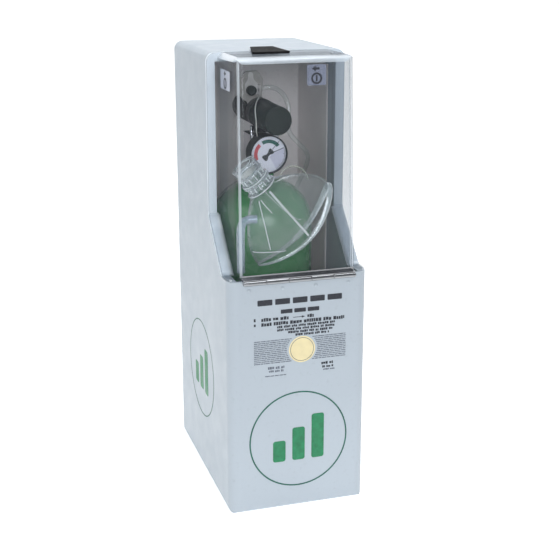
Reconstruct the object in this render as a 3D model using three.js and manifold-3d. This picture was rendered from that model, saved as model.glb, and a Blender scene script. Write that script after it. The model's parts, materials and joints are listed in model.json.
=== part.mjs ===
// Emergency oxygen station: a moulded case with a clear hinged cover, holding a small gas cylinder
// with its valve, gauge, carrying grip, lever, supply tube and face mask.
// Millimetres, +Z up. +X is the right-hand side and -Y the front.
// The origin is on the floor, in the middle of the overall width and depth.

import * as THREE from 'three';
import { mergeVertices } from 'three/addons/utils/BufferGeometryUtils.js';
import Module from 'manifold-3d';

const wasm = await Module();
wasm.setup();

// ---------------------------------------------------------------- driving dimensions

const GAP = 0.3; // running and assembly clearance

const CASE_WIDTH = 152;
const CASE_DEPTH = 230;
const CASE_HEIGHT = 483;
const CASE_WALL = 4;
const CORNER_RADIUS = 12; // upright front edges
const TOP_RADIUS = 10;
const FOOT_RADIUS = 5;

const SILL_Z = 259.4; // top of the lower front panel
const LEDGE_Y = 80; // the ledge round the opening, measured back from the front
const LEDGE_WIDTH = 10;
const LEDGE_THICK = 3;

const COVER_WALL = 2.4;
const COVER_HALF = 66;
const COVER_FRONT = 4;
const COVER_RADIUS = 10;
const COVER_LEAN = 0.047; // how far the front leans back for each millimetre of height
const COVER_TAPER = 0.00012; // narrowing for each millimetre of height
const COVER_TOP = CASE_HEIGHT - 0.4;

const BARREL_Y = -2.8;
const BARREL_Z = 258;
const BARREL_RADIUS = 2.5;
const HINGE_LENGTH = 121;
const KNUCKLES = 5;
const LEAF_THICK = 0.8;
const UPPER_FOOT_Z = BARREL_Z + BARREL_RADIUS + GAP;
const LEAF_TOP_Z = UPPER_FOOT_Z + 4;

const TANK_X = -10;
const TANK_Y = 104;
const TANK_RADIUS = 55.5;
const TANK_WALL = 4;
const TANK_FOOT_Z = 8;
const SHOULDER_Z = 296;
const SHOULDER_RISE = 50;
const NECK_TOP_Z = 352;
const NECK_RADIUS = 14;

const BLOCK_HALF = 16; // half the width of the valve block
const BLOCK_LOW_Z = 358;
const BLOCK_TOP_Z = 394;

const GRIP_X = -10;
const GRIP_Z = 415;
const GRIP_RADIUS = 15;
const GRIP_HALF = 64; // half its length

const GAUGE_X = -13.7;
const GAUGE_Z = 377;
const GAUGE_FRONT = 60;
const GAUGE_DEPTH = 22;
const GAUGE_RADIUS = 20.4;

const TUBE_RADIUS = 2.5;
const COIL_X = 28;
const COIL_Y = 25.5;
const COIL_Z = 41;
const COIL_RADIUS = 28; // at the middle of its turns
const COIL_HALF = 7.5; // half the width of the bundle of turns

const BARREL_FRONT = BARREL_Y - BARREL_RADIUS;
const MID_DEPTH = (CASE_DEPTH + BARREL_FRONT) / 2;

// ---------------------------------------------------------------- finishes

const finish = (color, roughness, metalness = 0) => ({ color, roughness, metalness });
const WHITE = finish(0xdfe4e6, 0.45);
const GREY_LINER = finish(0x8a8c8e, 0.55);
const CLEAR = finish(0xdfe9ee, 0.06);
const STEEL = finish(0xb9bcc0, 0.25, 1);
const CHROME = finish(0xd9dbde, 0.12, 1);
const BRASS = finish(0xc2a35a, 0.3, 1);
const GREEN = finish(0x2f7f43, 0.35);
const BLACK = finish(0x1c1f20, 0.5);
const RUBBER = finish(0x222424, 0.8);
const DIAL = finish(0xe6e4e8, 0.5);
const PUTTY = finish(0xa39f92, 0.45, 0.3);
const TUBING = finish(0xd8e2e4, 0.12);
const LATEX = finish(0xc9c3a0, 0.5);

// ---------------------------------------------------------------- geometry helpers

/** One closed, outward-facing geometry that holds positions only. */
function closed(geometry) {
  const bare = geometry.index ? geometry.toNonIndexed() : geometry.clone();
  bare.deleteAttribute('normal');
  bare.deleteAttribute('uv');
  const merged = mergeVertices(bare, 1e-4);
  const point = merged.attributes.position;
  const index = merged.index.array;
  const kept = [];
  let volume = 0;
  const corners = [new THREE.Vector3(), new THREE.Vector3(), new THREE.Vector3()];
  for (let i = 0; i < index.length; i += 3) {
    const [a, b, c] = [index[i], index[i + 1], index[i + 2]];
    if (a === b || b === c || c === a) continue;
    kept.push(a, b, c);
    [a, b, c].forEach((at, k) => corners[k].fromBufferAttribute(point, at));
    volume += corners[0].dot(corners[1].clone().cross(corners[2]));
  }
  if (volume < 0) {
    for (let i = 0; i < kept.length; i += 3) [kept[i], kept[i + 1]] = [kept[i + 1], kept[i]];
  }
  const result = new THREE.BufferGeometry();
  result.setAttribute('position', point.clone());
  result.setIndex(kept);
  return result;
}

function toSolid(geometry) {
  const ready = closed(geometry);
  return new wasm.Manifold(new wasm.Mesh({
    numProp: 3,
    vertProperties: new Float32Array(ready.attributes.position.array),
    triVerts: new Uint32Array(ready.index.array),
  }));
}

function toGeometry(solid) {
  const mesh = solid.getMesh();
  const geometry = new THREE.BufferGeometry();
  geometry.setAttribute('position', new THREE.BufferAttribute(new Float32Array(mesh.vertProperties), 3));
  geometry.setIndex(Array.from(mesh.triVerts));
  return geometry;
}

/** Joins the first list of geometries, then cuts the second list away. */
function carve(adds, cuts = []) {
  let solid = toSolid(adds[0]);
  for (const add of adds.slice(1)) solid = solid.add(toSolid(add));
  for (const cut of cuts) solid = solid.subtract(toSolid(cut));
  return toGeometry(solid);
}

function overlap(geometries) {
  return toGeometry(geometries.map(toSolid).reduce((a, b) => a.intersect(b)));
}

/** A closed outline through corners [u, v, radius]; a corner with a radius becomes an arc. */
function outline(corners, arcSteps = 5) {
  const points = [];
  corners.forEach(([u, v, radius = 0], i) => {
    const here = new THREE.Vector2(u, v);
    if (radius === 0) {
      points.push(here);
      return;
    }
    const before = corners[(i + corners.length - 1) % corners.length];
    const after = corners[(i + 1) % corners.length];
    const back = new THREE.Vector2(before[0], before[1]).sub(here).normalize();
    const on = new THREE.Vector2(after[0], after[1]).sub(here).normalize();
    const half = Math.acos(back.dot(on)) / 2;
    const reach = radius / Math.tan(half);
    const centre = back.clone().add(on).normalize().multiplyScalar(radius / Math.sin(half)).add(here);
    const start = here.clone().addScaledVector(back, reach).sub(centre);
    const end = here.clone().addScaledVector(on, reach).sub(centre);
    const turn = Math.atan2(start.cross(end), start.dot(end));
    for (let k = 0; k <= arcSteps; k += 1) {
      points.push(start.clone().rotateAround(new THREE.Vector2(), (turn * k) / arcSteps).add(centre));
    }
  });
  return new THREE.Shape(points);
}

const rectangle = (u0, v0, u1, v1, radius = 0) => outline([
  [u0, v0, radius], [u1, v0, radius], [u1, v1, radius], [u0, v1, radius]]);

function circle(radius, sides = 32, centreU = 0, centreV = 0) {
  const points = [];
  for (let k = 0; k < sides; k += 1) {
    const angle = (2 * Math.PI * k) / sides;
    points.push(new THREE.Vector2(centreU + radius * Math.cos(angle), centreV + radius * Math.sin(angle)));
  }
  return new THREE.Shape(points);
}

function ring(outer, inner, sides = 32) {
  const shape = circle(outer, sides);
  shape.holes.push(circle(inner, sides));
  return shape;
}

const extrude = (shape, depth) => new THREE.ExtrudeGeometry(shape, { depth, bevelEnabled: false });

/** An outline in (X, Y), raised from z0 to z1. */
const upright = (shape, z0, z1) => extrude(shape, z1 - z0).translate(0, 0, z0);

/** An outline in (Y, Z), carried from x0 to x1. */
function across(shape, x0, x1) {
  const turn = new THREE.Matrix4().makeBasis(
    new THREE.Vector3(0, 1, 0), new THREE.Vector3(0, 0, 1), new THREE.Vector3(1, 0, 0));
  return extrude(shape, x1 - x0).applyMatrix4(turn).translate(x0, 0, 0);
}

/** An outline in (X, Z), carried from y0 to y1. */
function rearward(shape, y0, y1) {
  const turn = new THREE.Matrix4().makeBasis(
    new THREE.Vector3(1, 0, 0), new THREE.Vector3(0, 0, 1), new THREE.Vector3(0, -1, 0));
  return extrude(shape, y1 - y0).applyMatrix4(turn).translate(0, y1, 0);
}

function box(x0, x1, y0, y1, z0, z1) {
  return new THREE.BoxGeometry(x1 - x0, y1 - y0, z1 - z0)
    .translate((x0 + x1) / 2, (y0 + y1) / 2, (z0 + z1) / 2);
}

/** A turned piece on its own Y axis, from [radius, height] pairs. */
const turned = (pairs, sides = 24) => new THREE.LatheGeometry(
  pairs.map(([radius, height]) => new THREE.Vector2(radius, height)), sides);

/** A turned piece that stands on the Z axis. */
const stood = (pairs, sides) => turned(pairs, sides).rotateX(Math.PI / 2);

const rod = (radius, y0, y1, sides = 20) => turned([[0, y0], [radius, y0], [radius, y1], [0, y1]], sides);

function smoothPath(points) {
  return new THREE.CatmullRomCurve3(points.map((p) => new THREE.Vector3(...p)), false, 'centripetal');
}

function swept(shape, points, steps) {
  return new THREE.ExtrudeGeometry(shape, { steps, bevelEnabled: false, extrudePath: smoothPath(points) });
}

/** A closed sheet body: the outer and inner surfaces over s and round theta, joined at both ends. */
function walled(outer, inner, rows, columns) {
  const positions = [];
  for (const surface of [outer, inner]) {
    for (let i = 0; i <= rows; i += 1) {
      for (let j = 0; j < columns; j += 1) {
        positions.push(...surface(i / rows, (2 * Math.PI * j) / columns).toArray());
      }
    }
  }
  const at = (side, i, j) => side * (rows + 1) * columns + i * columns + (j % columns);
  const index = [];
  const quad = (a, b, c, d) => index.push(a, b, c, a, c, d);
  for (let j = 0; j < columns; j += 1) {
    for (let i = 0; i < rows; i += 1) {
      quad(at(0, i, j), at(0, i, j + 1), at(0, i + 1, j + 1), at(0, i + 1, j));
      quad(at(1, i, j), at(1, i + 1, j), at(1, i + 1, j + 1), at(1, i, j + 1));
    }
    quad(at(0, 0, j), at(1, 0, j), at(1, 0, j + 1), at(0, 0, j + 1));
    quad(at(0, rows, j), at(0, rows, j + 1), at(1, rows, j + 1), at(1, rows, j));
  }
  return indexed(positions, index);
}

/** A closed ring body: a round section carried all the way round theta. */
function loop(surface, columns, sides) {
  const positions = [];
  for (let j = 0; j < columns; j += 1) {
    for (let k = 0; k < sides; k += 1) {
      positions.push(...surface((2 * Math.PI * j) / columns, (2 * Math.PI * k) / sides).toArray());
    }
  }
  const at = (j, k) => (j % columns) * sides + (k % sides);
  const index = [];
  for (let j = 0; j < columns; j += 1) {
    for (let k = 0; k < sides; k += 1) {
      index.push(at(j, k), at(j + 1, k), at(j + 1, k + 1), at(j, k), at(j + 1, k + 1), at(j, k + 1));
    }
  }
  return indexed(positions, index);
}

function indexed(positions, index) {
  const geometry = new THREE.BufferGeometry();
  geometry.setAttribute('position', new THREE.Float32BufferAttribute(positions, 3));
  geometry.setIndex(index);
  return geometry;
}

// Everything below is placed with Y measured back from the front of the case.
const station = new THREE.Group();
station.position.set(0, -MID_DEPTH, 0);

function add(name, geometry, look, place = station) {
  const ready = closed(geometry);
  ready.computeVertexNormals();
  const mesh = new THREE.Mesh(ready, new THREE.MeshStandardMaterial(look));
  mesh.name = name;
  place.add(mesh);
  return mesh;
}

// ---------------------------------------------------------------- case

/** The body of the case, drawn in by inset on every side but the back. */
function caseBody(inset, back) {
  const half = CASE_WIDTH / 2 - inset;
  const top = CASE_HEIGHT - inset;
  const round = (radius) => Math.max(radius - inset, 2);
  const plan = outline([[-half, inset, round(CORNER_RADIUS)], [half, inset, round(CORNER_RADIUS)],
    [half, back, 1.5], [-half, back, 1.5]]);
  const side = outline([[inset, inset, round(FOOT_RADIUS)], [back, inset, 1.5],
    [back, top, 1.5], [inset, top, round(TOP_RADIUS)]]);
  const front = outline([[-half, inset, round(FOOT_RADIUS)], [half, inset, round(FOOT_RADIUS)],
    [half, top, round(TOP_RADIUS)], [-half, top, round(TOP_RADIUS)]]);
  return overlap([upright(plan, -5, CASE_HEIGHT + 5), across(side, -half - 5, half + 5),
    rearward(front, -5, back + 5)]);
}

/** Everything in front of the ledge; shift moves the boundary forward and up. */
function frontRegion(shift, halfWidth = 100) {
  const far = 520;
  return across(outline([[-30, SILL_Z + shift], [27.5 - shift, SILL_Z + shift, 8],
    [LEDGE_Y - shift, SILL_Z + 52 + shift, 12], [LEDGE_Y - shift, far], [-30, far]]), -halfWidth, halfWidth);
}

const SCREW_SPOTS = [[-65, 12], [65, 12], [-65, 471], [65, 471]];
const PANEL_Y = 226; // front of the back panel
const RIVET_X = [-54, -18, 18, 54];
const RIVET_Z = 249.5;

function caseShell() {
  const skin = carve([caseBody(0, CASE_DEPTH)], [caseBody(CASE_WALL, CASE_DEPTH + 10)]);
  const ledgeBand = carve([frontRegion(-LEDGE_THICK)], [frontRegion(0)]);
  const halfWindow = CASE_WIDTH / 2 - LEDGE_WIDTH;
  const window = box(-halfWindow, halfWindow, CASE_WALL, 200, 150, CASE_HEIGHT - LEDGE_WIDTH);
  const ledge = carve([overlap([caseBody(0, CASE_DEPTH), ledgeBand])], [window]);
  const bosses = SCREW_SPOTS.map(([x, z]) => box(
    x < 0 ? -73 : 59, x < 0 ? -59 : 73, 208, PANEL_Y - GAP,
    z < 100 ? 3 : 464, z < 100 ? 19 : 480));
  const pilots = SCREW_SPOTS.map(([x, z]) => rod(1.6, 212, PANEL_Y + 5, 8).translate(x, 0, z));
  const rivetHoles = RIVET_X.map((x) => rod(1.6, -5, 10, 8).translate(x, 0, RIVET_Z));
  return carve([skin, ledge, ...bosses], [frontRegion(0), ...pilots, ...rivetHoles]);
}

add('case_shell', caseShell(), WHITE);

const LINER_HALF = CASE_WIDTH / 2 - CASE_WALL - 0.4;
const LINER_FRONT = 118;
const LINER_BACK = 219.3;
const LINER_WALL = 1.6;

function linerPlan() {
  const inner = LINER_HALF - LINER_WALL;
  return outline([[-LINER_HALF, LINER_FRONT], [-inner, LINER_FRONT], [-inner, LINER_BACK - LINER_WALL, 2],
    [inner, LINER_BACK - LINER_WALL, 2], [inner, LINER_FRONT], [LINER_HALF, LINER_FRONT],
    [LINER_HALF, LINER_BACK, 3.6], [-LINER_HALF, LINER_BACK, 3.6]]);
}
add('inner_liner', upright(linerPlan(), 19.6, 463), GREY_LINER);

const KEYHOLES = [[-40, 400], [40, 400]];
const PANEL_THICK = 2;

function backPanel() {
  const low = CASE_WALL + 0.4;
  const top = CASE_HEIGHT - CASE_WALL - 0.4;
  const face = outline([[-LINER_HALF, low, 2.4], [LINER_HALF, low, 2.4],
    [LINER_HALF, top, 6.4], [-LINER_HALF, top, 6.4]]);
  const plate = rearward(face, PANEL_Y, PANEL_Y + PANEL_THICK);
  const cuts = SCREW_SPOTS.map(([x, z]) => rod(1.6, 200, 240, 8).translate(x, 0, z));
  for (const [x, z] of KEYHOLES) {
    cuts.push(rod(5.5, 200, 240, 16).translate(x, 0, z));
    cuts.push(rearward(rectangle(x - 2.7, z, x + 2.7, z + 15, 2.2), 200, 240));
  }
  return carve([plate], cuts);
}
add('back_panel', backPanel(), WHITE);

SCREW_SPOTS.forEach(([x, z], i) => {
  const face = PANEL_Y + PANEL_THICK + GAP;
  const screw = turned([[0, 214], [1.2, 216], [1.2, face], [3.2, face], [2.6, face + 1.3],
    [0, face + 1.5]], 10);
  add(`back_screw_${i + 1}`, screw.translate(x, 0, z), STEEL);
});

// ---------------------------------------------------------------- clear cover

function coverBlank(inset) {
  const half = COVER_HALF - inset;
  const front = COVER_FRONT + inset;
  const round = COVER_RADIUS - inset;
  const plan = outline([[-half + 1.5, front, round], [half - 1.5, front, round], [half, 110], [-half, 110]], 6);
  const blank = closed(upright(plan, 200, 520));
  const point = blank.attributes.position;
  for (let i = 0; i < point.count; i += 1) {
    const rise = point.getZ(i) - SILL_Z;
    point.setX(i, point.getX(i) * (1 - COVER_TAPER * rise));
    point.setY(i, point.getY(i) + COVER_LEAN * rise);
  }
  const top = COVER_TOP - inset;
  const frontAt = (z) => front - 0.5 + COVER_LEAN * (z - SILL_Z);
  const sideView = outline([[frontAt(200), 200], [140, 200], [140, top], [frontAt(top), top, round]], 6);
  const shoulder = half * (1 - COVER_TAPER * (top - SILL_Z)) + 0.2;
  const frontView = outline([[-half - 4, 200], [half + 4, 200], [shoulder, top, round],
    [-shoulder, top, round]], 6);
  return overlap([blank, across(sideView, -90, 90), rearward(frontView, -40, 150)]);
}

function clearCover() {
  const hollow = coverBlank(COVER_WALL);
  const shell = overlap([carve([coverBlank(0)], [hollow]), frontRegion(GAP)]);
  const band = carve([frontRegion(GAP)], [frontRegion(GAP + COVER_WALL)]);
  const flange = carve([overlap([band, caseBody(1, CASE_DEPTH)])], [hollow]);
  const leafRoom = box(-61.2, 61.2, -5, 7, 250, SILL_Z + 1.5);
  const frontOfFoot = box(-61.2, 61.2, -5, COVER_FRONT, 250, LEAF_TOP_Z + GAP);
  return carve([shell, flange], [leafRoom, frontOfFoot]);
}
add('clear_cover', clearCover(), CLEAR);

// ---------------------------------------------------------------- hinge

const KNUCKLE = HINGE_LENGTH / KNUCKLES;
const knuckleStart = (k) => -HINGE_LENGTH / 2 + k * KNUCKLE;

const barrel = (radius, x0, x1, sides = 14) => rod(radius, x0, x1, sides)
  .rotateZ(-Math.PI / 2).translate(0, BARREL_Y, BARREL_Z);

/** One leaf: a folded plate, its own knuckles, and room for the other leaf's knuckles. */
function leaf(fold, mine) {
  const end = HINGE_LENGTH / 2;
  const adds = [across(fold, -end, end)];
  const cuts = [];
  for (let k = 0; k < KNUCKLES; k += 1) {
    const [x0, x1] = [knuckleStart(k), knuckleStart(k + 1)];
    if (k % 2 === mine) adds.push(barrel(BARREL_RADIUS, x0 + GAP / 2, x1 - GAP / 2));
    else cuts.push(barrel(BARREL_RADIUS + GAP, x0 - GAP / 2, x1 + GAP / 2));
  }
  const bore = barrel(1.2, -end - 5, end + 5, 8);
  return { adds, cuts, bore };
}

const LOW_TOP_Z = BARREL_Z + BARREL_RADIUS;
const LEAF_FOOT_Z = BARREL_Z - 17;
const lowerFold = outline([[CASE_WALL + GAP, LEAF_FOOT_Z], [CASE_WALL + GAP + LEAF_THICK, LEAF_FOOT_Z],
  [CASE_WALL + GAP + LEAF_THICK, LOW_TOP_Z], [BARREL_Y, LOW_TOP_Z], [BARREL_Y, LOW_TOP_Z - LEAF_THICK],
  [CASE_WALL + GAP, LOW_TOP_Z - LEAF_THICK]]);
const lower = leaf(lowerFold, 0);
const leafHoles = RIVET_X.map((x) => rod(1.6, -5, 10, 8).translate(x, 0, RIVET_Z));
add('hinge_leaf_lower', carve(lower.adds, [...lower.cuts, ...leafHoles, lower.bore]), STEEL);

// The upper leaf is a shallow angle: a foot over the lower leaf and a short flange bonded to the cover.
const LEAF_BACK_Y = COVER_FRONT - GAP;
const FOOT_TOP_Z = UPPER_FOOT_Z + LEAF_THICK;
const upperFold = outline([[BARREL_Y - 0.8, UPPER_FOOT_Z], [LEAF_BACK_Y, UPPER_FOOT_Z],
  [LEAF_BACK_Y, LEAF_TOP_Z], [LEAF_BACK_Y - LEAF_THICK, LEAF_TOP_Z],
  [LEAF_BACK_Y - LEAF_THICK, FOOT_TOP_Z], [BARREL_Y - 0.8, FOOT_TOP_Z]]);
const upper = leaf(upperFold, 1);
const webs = [1, 3].map((k) => box(knuckleStart(k) + GAP, knuckleStart(k + 1) - GAP,
  BARREL_Y - 0.8, BARREL_Y + 0.8, BARREL_Z + 1.6, FOOT_TOP_Z));
add('hinge_leaf_upper', carve([...upper.adds, ...webs], [upper.bore]), STEEL);
add('hinge_pin', barrel(0.9, -HINGE_LENGTH / 2 - 0.6, HINGE_LENGTH / 2 + 0.6, 8), STEEL);

RIVET_X.forEach((x, i) => {
  const front = turned([[0, -1], [1.3, -0.8], [2, -GAP], [1.3, -GAP], [1.3, 5.4], [2.4, 5.4],
    [2, 6.3], [0, 6.5]], 10);
  add(`hinge_rivet_${i + 1}`, front.translate(x, 0, RIVET_Z), WHITE);
});

// ---------------------------------------------------------------- closure tab

const TAB_FOLD_Y = LEDGE_Y - 0.2;
const TAB_FRONT_Y = 41;
const TAB_BACK_Y = 102;
const TAB_RIGHT = 3;
const TAB_LOW_Z = 484.2;
const TAB_TOP_Z = 485.2;

/** The tab narrows towards the back on its left side only. */
const tabLeft = (y) => -37 + (15 * (y - TAB_FRONT_Y)) / (TAB_BACK_Y - TAB_FRONT_Y);

function tabPiece(y0, y1, frontRadius, backRadius) {
  return outline([[tabLeft(y0), y0, frontRadius], [TAB_RIGHT, y0, frontRadius],
    [TAB_RIGHT, y1, backRadius], [tabLeft(y1), y1, backRadius]], 3);
}
const rootPlan = tabPiece(TAB_FRONT_Y, TAB_FOLD_Y - GAP / 2, 2, 0);
const flapPlan = tabPiece(TAB_FOLD_Y + GAP / 2, TAB_BACK_Y, 0, 2);
add('closure_tab_root', upright(rootPlan, COVER_TOP + GAP, TAB_TOP_Z), BLACK);
add('closure_tab_flap', upright(flapPlan, TAB_LOW_Z, TAB_TOP_Z), BLACK);
add('closure_hook_pad', upright(rectangle(tabLeft(TAB_BACK_Y) + 1, 88, TAB_RIGHT - 2, TAB_BACK_Y - 1, 1),
  CASE_HEIGHT + GAP, TAB_LOW_Z - GAP), BLACK);

// ---------------------------------------------------------------- cylinder

const tank = new THREE.Group();
tank.position.set(TANK_X, TANK_Y, 0);
station.add(tank);

function dome(radius, low, rise, neck, steps) {
  const stop = Math.acos(neck / radius);
  return Array.from({ length: steps + 1 }, (_, k) => {
    const angle = (stop * k) / steps;
    return [radius * Math.cos(angle), low + rise * Math.sin(angle)];
  });
}

const tankInner = TANK_RADIUS - TANK_WALL;
const neckBore = 8.6;
add('cylinder_shell', stood([
  [0, TANK_FOOT_Z + 1], [40, TANK_FOOT_Z + 1], [46, TANK_FOOT_Z], [52.5, TANK_FOOT_Z + 3],
  [TANK_RADIUS, TANK_FOOT_Z + 9],
  ...dome(TANK_RADIUS, SHOULDER_Z, SHOULDER_RISE, NECK_RADIUS, 8),
  [NECK_RADIUS, NECK_TOP_Z], [neckBore, NECK_TOP_Z],
  ...dome(tankInner, SHOULDER_Z, SHOULDER_RISE - TANK_WALL, neckBore, 5).reverse(),
  [tankInner, TANK_FOOT_Z + 10], [44, TANK_FOOT_Z + 6], [0, TANK_FOOT_Z + 6]], 36), GREEN, tank);

add('cylinder_boot', stood([[0, 4.3], [57.3, 4.3], [58.5, 6], [58.5, 30], [55.9, 30],
  [55.9, TANK_FOOT_Z + 8.4], [54, TANK_FOOT_Z + 2.2], [47, TANK_FOOT_Z - 0.5], [0, TANK_FOOT_Z - 0.5]], 36),
RUBBER, tank);

const STRAP_LOW_Z = 150;
const STRAP_TOP_Z = 175;

function strapPlan() {
  const back = LINER_BACK - LINER_WALL - GAP - TANK_Y;
  const arc = (radius, from, to, steps) => Array.from({ length: steps + 1 }, (_, k) => {
    const angle = from + ((to - from) * k) / steps;
    return new THREE.Vector2(radius * Math.cos(angle), radius * Math.sin(angle));
  });
  const inner = TANK_RADIUS + GAP;
  const outer = inner + 1.5;
  return new THREE.Shape([new THREE.Vector2(-outer, back), ...arc(outer, Math.PI, 2 * Math.PI, 24),
    new THREE.Vector2(outer, back), new THREE.Vector2(inner, back),
    ...arc(inner, 2 * Math.PI, Math.PI, 24), new THREE.Vector2(-inner, back)]);
}
add('retaining_strap', upright(strapPlan(), STRAP_LOW_Z, STRAP_TOP_Z), BLACK, tank);
const buckleBack = -TANK_RADIUS - GAP - 1.5 - GAP;
const bucklePlan = rectangle(-15, STRAP_LOW_Z - 3, 15, STRAP_TOP_Z + 3, 3);
add('strap_buckle', rearward(bucklePlan, buckleBack - 3.5, buckleBack), BLACK, tank);

// ---------------------------------------------------------------- valve and gauge

function valveBody() {
  const stem = stood([[0, 338], [neckBore - GAP, 338], [neckBore - GAP, NECK_TOP_Z + GAP],
    [15.5, NECK_TOP_Z + GAP], [15.5, BLOCK_LOW_Z + 1], [0, BLOCK_LOW_Z + 1]], 24);
  const plan = rectangle(-BLOCK_HALF, -BLOCK_HALF, BLOCK_HALF, BLOCK_HALF, 4);
  return carve([stem, upright(plan, BLOCK_LOW_Z, BLOCK_TOP_Z)]);
}
add('valve_body', valveBody(), CHROME, tank);

const hexagon = (radius) => circle(radius, 6);
add('relief_plug', across(hexagon(5.5), BLOCK_HALF + GAP, BLOCK_HALF + 7).translate(0, 2, 368), BRASS, tank);

const gauge = new THREE.Group();
gauge.position.set(GAUGE_X, GAUGE_FRONT, GAUGE_Z);
station.add(gauge);

const stemEnd = TANK_Y - BLOCK_HALF - GAP - GAUGE_FRONT;
add('gauge_stem', rearward(hexagon(6.5), GAUGE_DEPTH + GAP, stemEnd), BRASS, gauge);
add('gauge_case', turned([[0, GAUGE_DEPTH - 2], [15.5, GAUGE_DEPTH - 2], [15.5, 4.8],
  [19.8, 4.8], [19.8, 1.6], [19.4, 1.2], [19.4, 0], [19.8, 0], [GAUGE_RADIUS, 0.8],
  [GAUGE_RADIUS, GAUGE_DEPTH - 3], [GAUGE_RADIUS - 3, GAUGE_DEPTH], [0, GAUGE_DEPTH]], 28), BLACK, gauge);
const DIAL_RADIUS = 19.5;
add('gauge_dial', rod(DIAL_RADIUS, 3.9, 4.5, 28), DIAL, gauge);
add('gauge_lens', rod(DIAL_RADIUS, 1.9, 2.6, 28), CLEAR, gauge);

function needle() {
  const wide = 2;
  const bowTie = outline([[-7, -wide], [-1, -0.8], [1, -0.8], [6.5, -wide], [6.5, wide], [1, 0.8],
    [-1, 0.8], [-7, wide]]);
  return carve([rearward(bowTie, 3.05, 3.45), rod(1.3, 3, 3.5, 16)]).rotateY(-Math.PI / 4);
}
add('gauge_needle', needle(), BLACK, gauge);

// ---------------------------------------------------------------- carrying grip

// The grip, its post and the lever valve share one frame on the bar's axis.
const handle = new THREE.Group();
handle.position.set(GRIP_X, TANK_Y, GRIP_Z);
station.add(handle);

const POST_HALF = 7;
const BAR_RADIUS = 5;
const SLEEVE_BORE = BAR_RADIUS + GAP;
const COLLAR_RADIUS = GRIP_RADIUS + 0.6;
const PLATE_FRONT = POST_HALF + GAP;
const PLATE_THICK = 2;
const PLATE_BACK = PLATE_FRONT + PLATE_THICK;

/** A grip sleeve closed at its outer end, on the bar's axis from start to the end of the grip. */
function sleeve(start) {
  const end = GRIP_HALF;
  return turned([[0, end], [GRIP_RADIUS - 0.6, end], [GRIP_RADIUS, end - 0.6], [GRIP_RADIUS, start],
    [SLEEVE_BORE, start], [SLEEVE_BORE, end - 3.6], [0, end - 3.6]]);
}
add('handle_bar', rod(BAR_RADIUS, -GRIP_HALF + 4, GRIP_HALF - 4), STEEL, handle);
add('grip_front', sleeve(POST_HALF + GAP).rotateZ(Math.PI), RUBBER, handle);
add('grip_rear', sleeve(PLATE_BACK + GAP), RUBBER, handle);

function handlePost() {
  const foot = GRIP_Z - BLOCK_TOP_Z - GAP - 0.5;
  const collar = rod(COLLAR_RADIUS, -POST_HALF, POST_HALF, 28);
  const neck = box(-7, 7, -POST_HALF, POST_HALF, -foot, -6);
  return carve([collar, neck], [rod(SLEEVE_BORE, -20, 20)]);
}
add('handle_post', handlePost(), BLACK, handle);

// ---------------------------------------------------------------- lever valve

const HUB_X = -9.4;
const HUB_Z = 23.6;
const SPINDLE_HOLE = 2.3;

/** A plate clamped on the bar behind the collar, rising to carry the lever. */
function leverPlate() {
  const shape = outline([[-16, 12, 6], [3, 12, 3], [5, 35, 6], [-1, 44, 4], [-14, 44, 6], [-23, 35, 6],
    [-22, 19, 5]], 4);
  const eye = rod(11, PLATE_FRONT, PLATE_BACK, 28);
  const neck = rearward(outline([[-10, 0], [8, 0], [4, 16], [-15, 16]]), PLATE_FRONT, PLATE_BACK);
  const spindleHole = rod(SPINDLE_HOLE, 0, 20, 12).translate(HUB_X, 0, HUB_Z);
  return carve([rearward(shape, PLATE_FRONT, PLATE_BACK), eye, neck], [rod(SLEEVE_BORE, 0, 20), spindleHole]);
}
add('lever_bracket', leverPlate(), PUTTY, handle);

const hub = new THREE.Group();
hub.position.set(HUB_X, 0, HUB_Z);
handle.add(hub);
const LEVER_BACK = PLATE_FRONT - GAP;
const LEVER_FRONT = LEVER_BACK - 1.6;

function valveLever() {
  const blade = outline([[-6.5, -4.5, 3], [8.5, -4.5, 1], [8.5, 6.5, 2], [3, 12, 4], [3, 19, 2.8],
    [-3, 19, 2.8], [-3, 12, 4], [-6.5, 6.5, 3]], 4);
  const flange = box(7, 8.5, LEVER_BACK - 10, LEVER_BACK - 1, -4.5, 6);
  return carve([rearward(blade, LEVER_FRONT, LEVER_BACK), flange], [rod(SPINDLE_HOLE, 0, 20, 12)]);
}
add('valve_lever', valveLever(), CHROME, hub);

const KNOB_BACK = LEVER_FRONT - GAP;
add('lever_knob', turned([[0, KNOB_BACK - 6.5], [4, KNOB_BACK - 6.2], [5.3, KNOB_BACK - 5], [5.3, KNOB_BACK],
  [2, KNOB_BACK], [2, PLATE_BACK + 7], [0, PLATE_BACK + 7]], 20), BLACK, hub);

const CARTRIDGE_FRONT = PLATE_BACK + GAP;
const CARTRIDGE_BACK = CARTRIDGE_FRONT + 18;
const CARTRIDGE_RADIUS = 8;
add('valve_cartridge', turned([[0, CARTRIDGE_BACK], [CARTRIDGE_RADIUS - 1, CARTRIDGE_BACK],
  [CARTRIDGE_RADIUS, CARTRIDGE_BACK - 1], [CARTRIDGE_RADIUS, CARTRIDGE_FRONT],
  [SPINDLE_HOLE, CARTRIDGE_FRONT], [SPINDLE_HOLE, CARTRIDGE_FRONT + 8], [0, CARTRIDGE_FRONT + 8]]), BRASS, hub);

const PORT_Y = 19;
const BARB_LENGTH = 7;
const BARB_START = CARTRIDGE_RADIUS + 0.1 + GAP;
const barb = turned([[0, 0], [3.2, 0], [3.2, 2.2], [1.7, 2.2], [2.2, 3.4], [1.7, 4.6], [2.2, 5.6],
  [1.3, BARB_LENGTH], [0, BARB_LENGTH]], 14);
add('outlet_barb', barb.rotateZ(-Math.PI / 2).translate(BARB_START, PORT_Y, 0), BRASS, hub);

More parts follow.
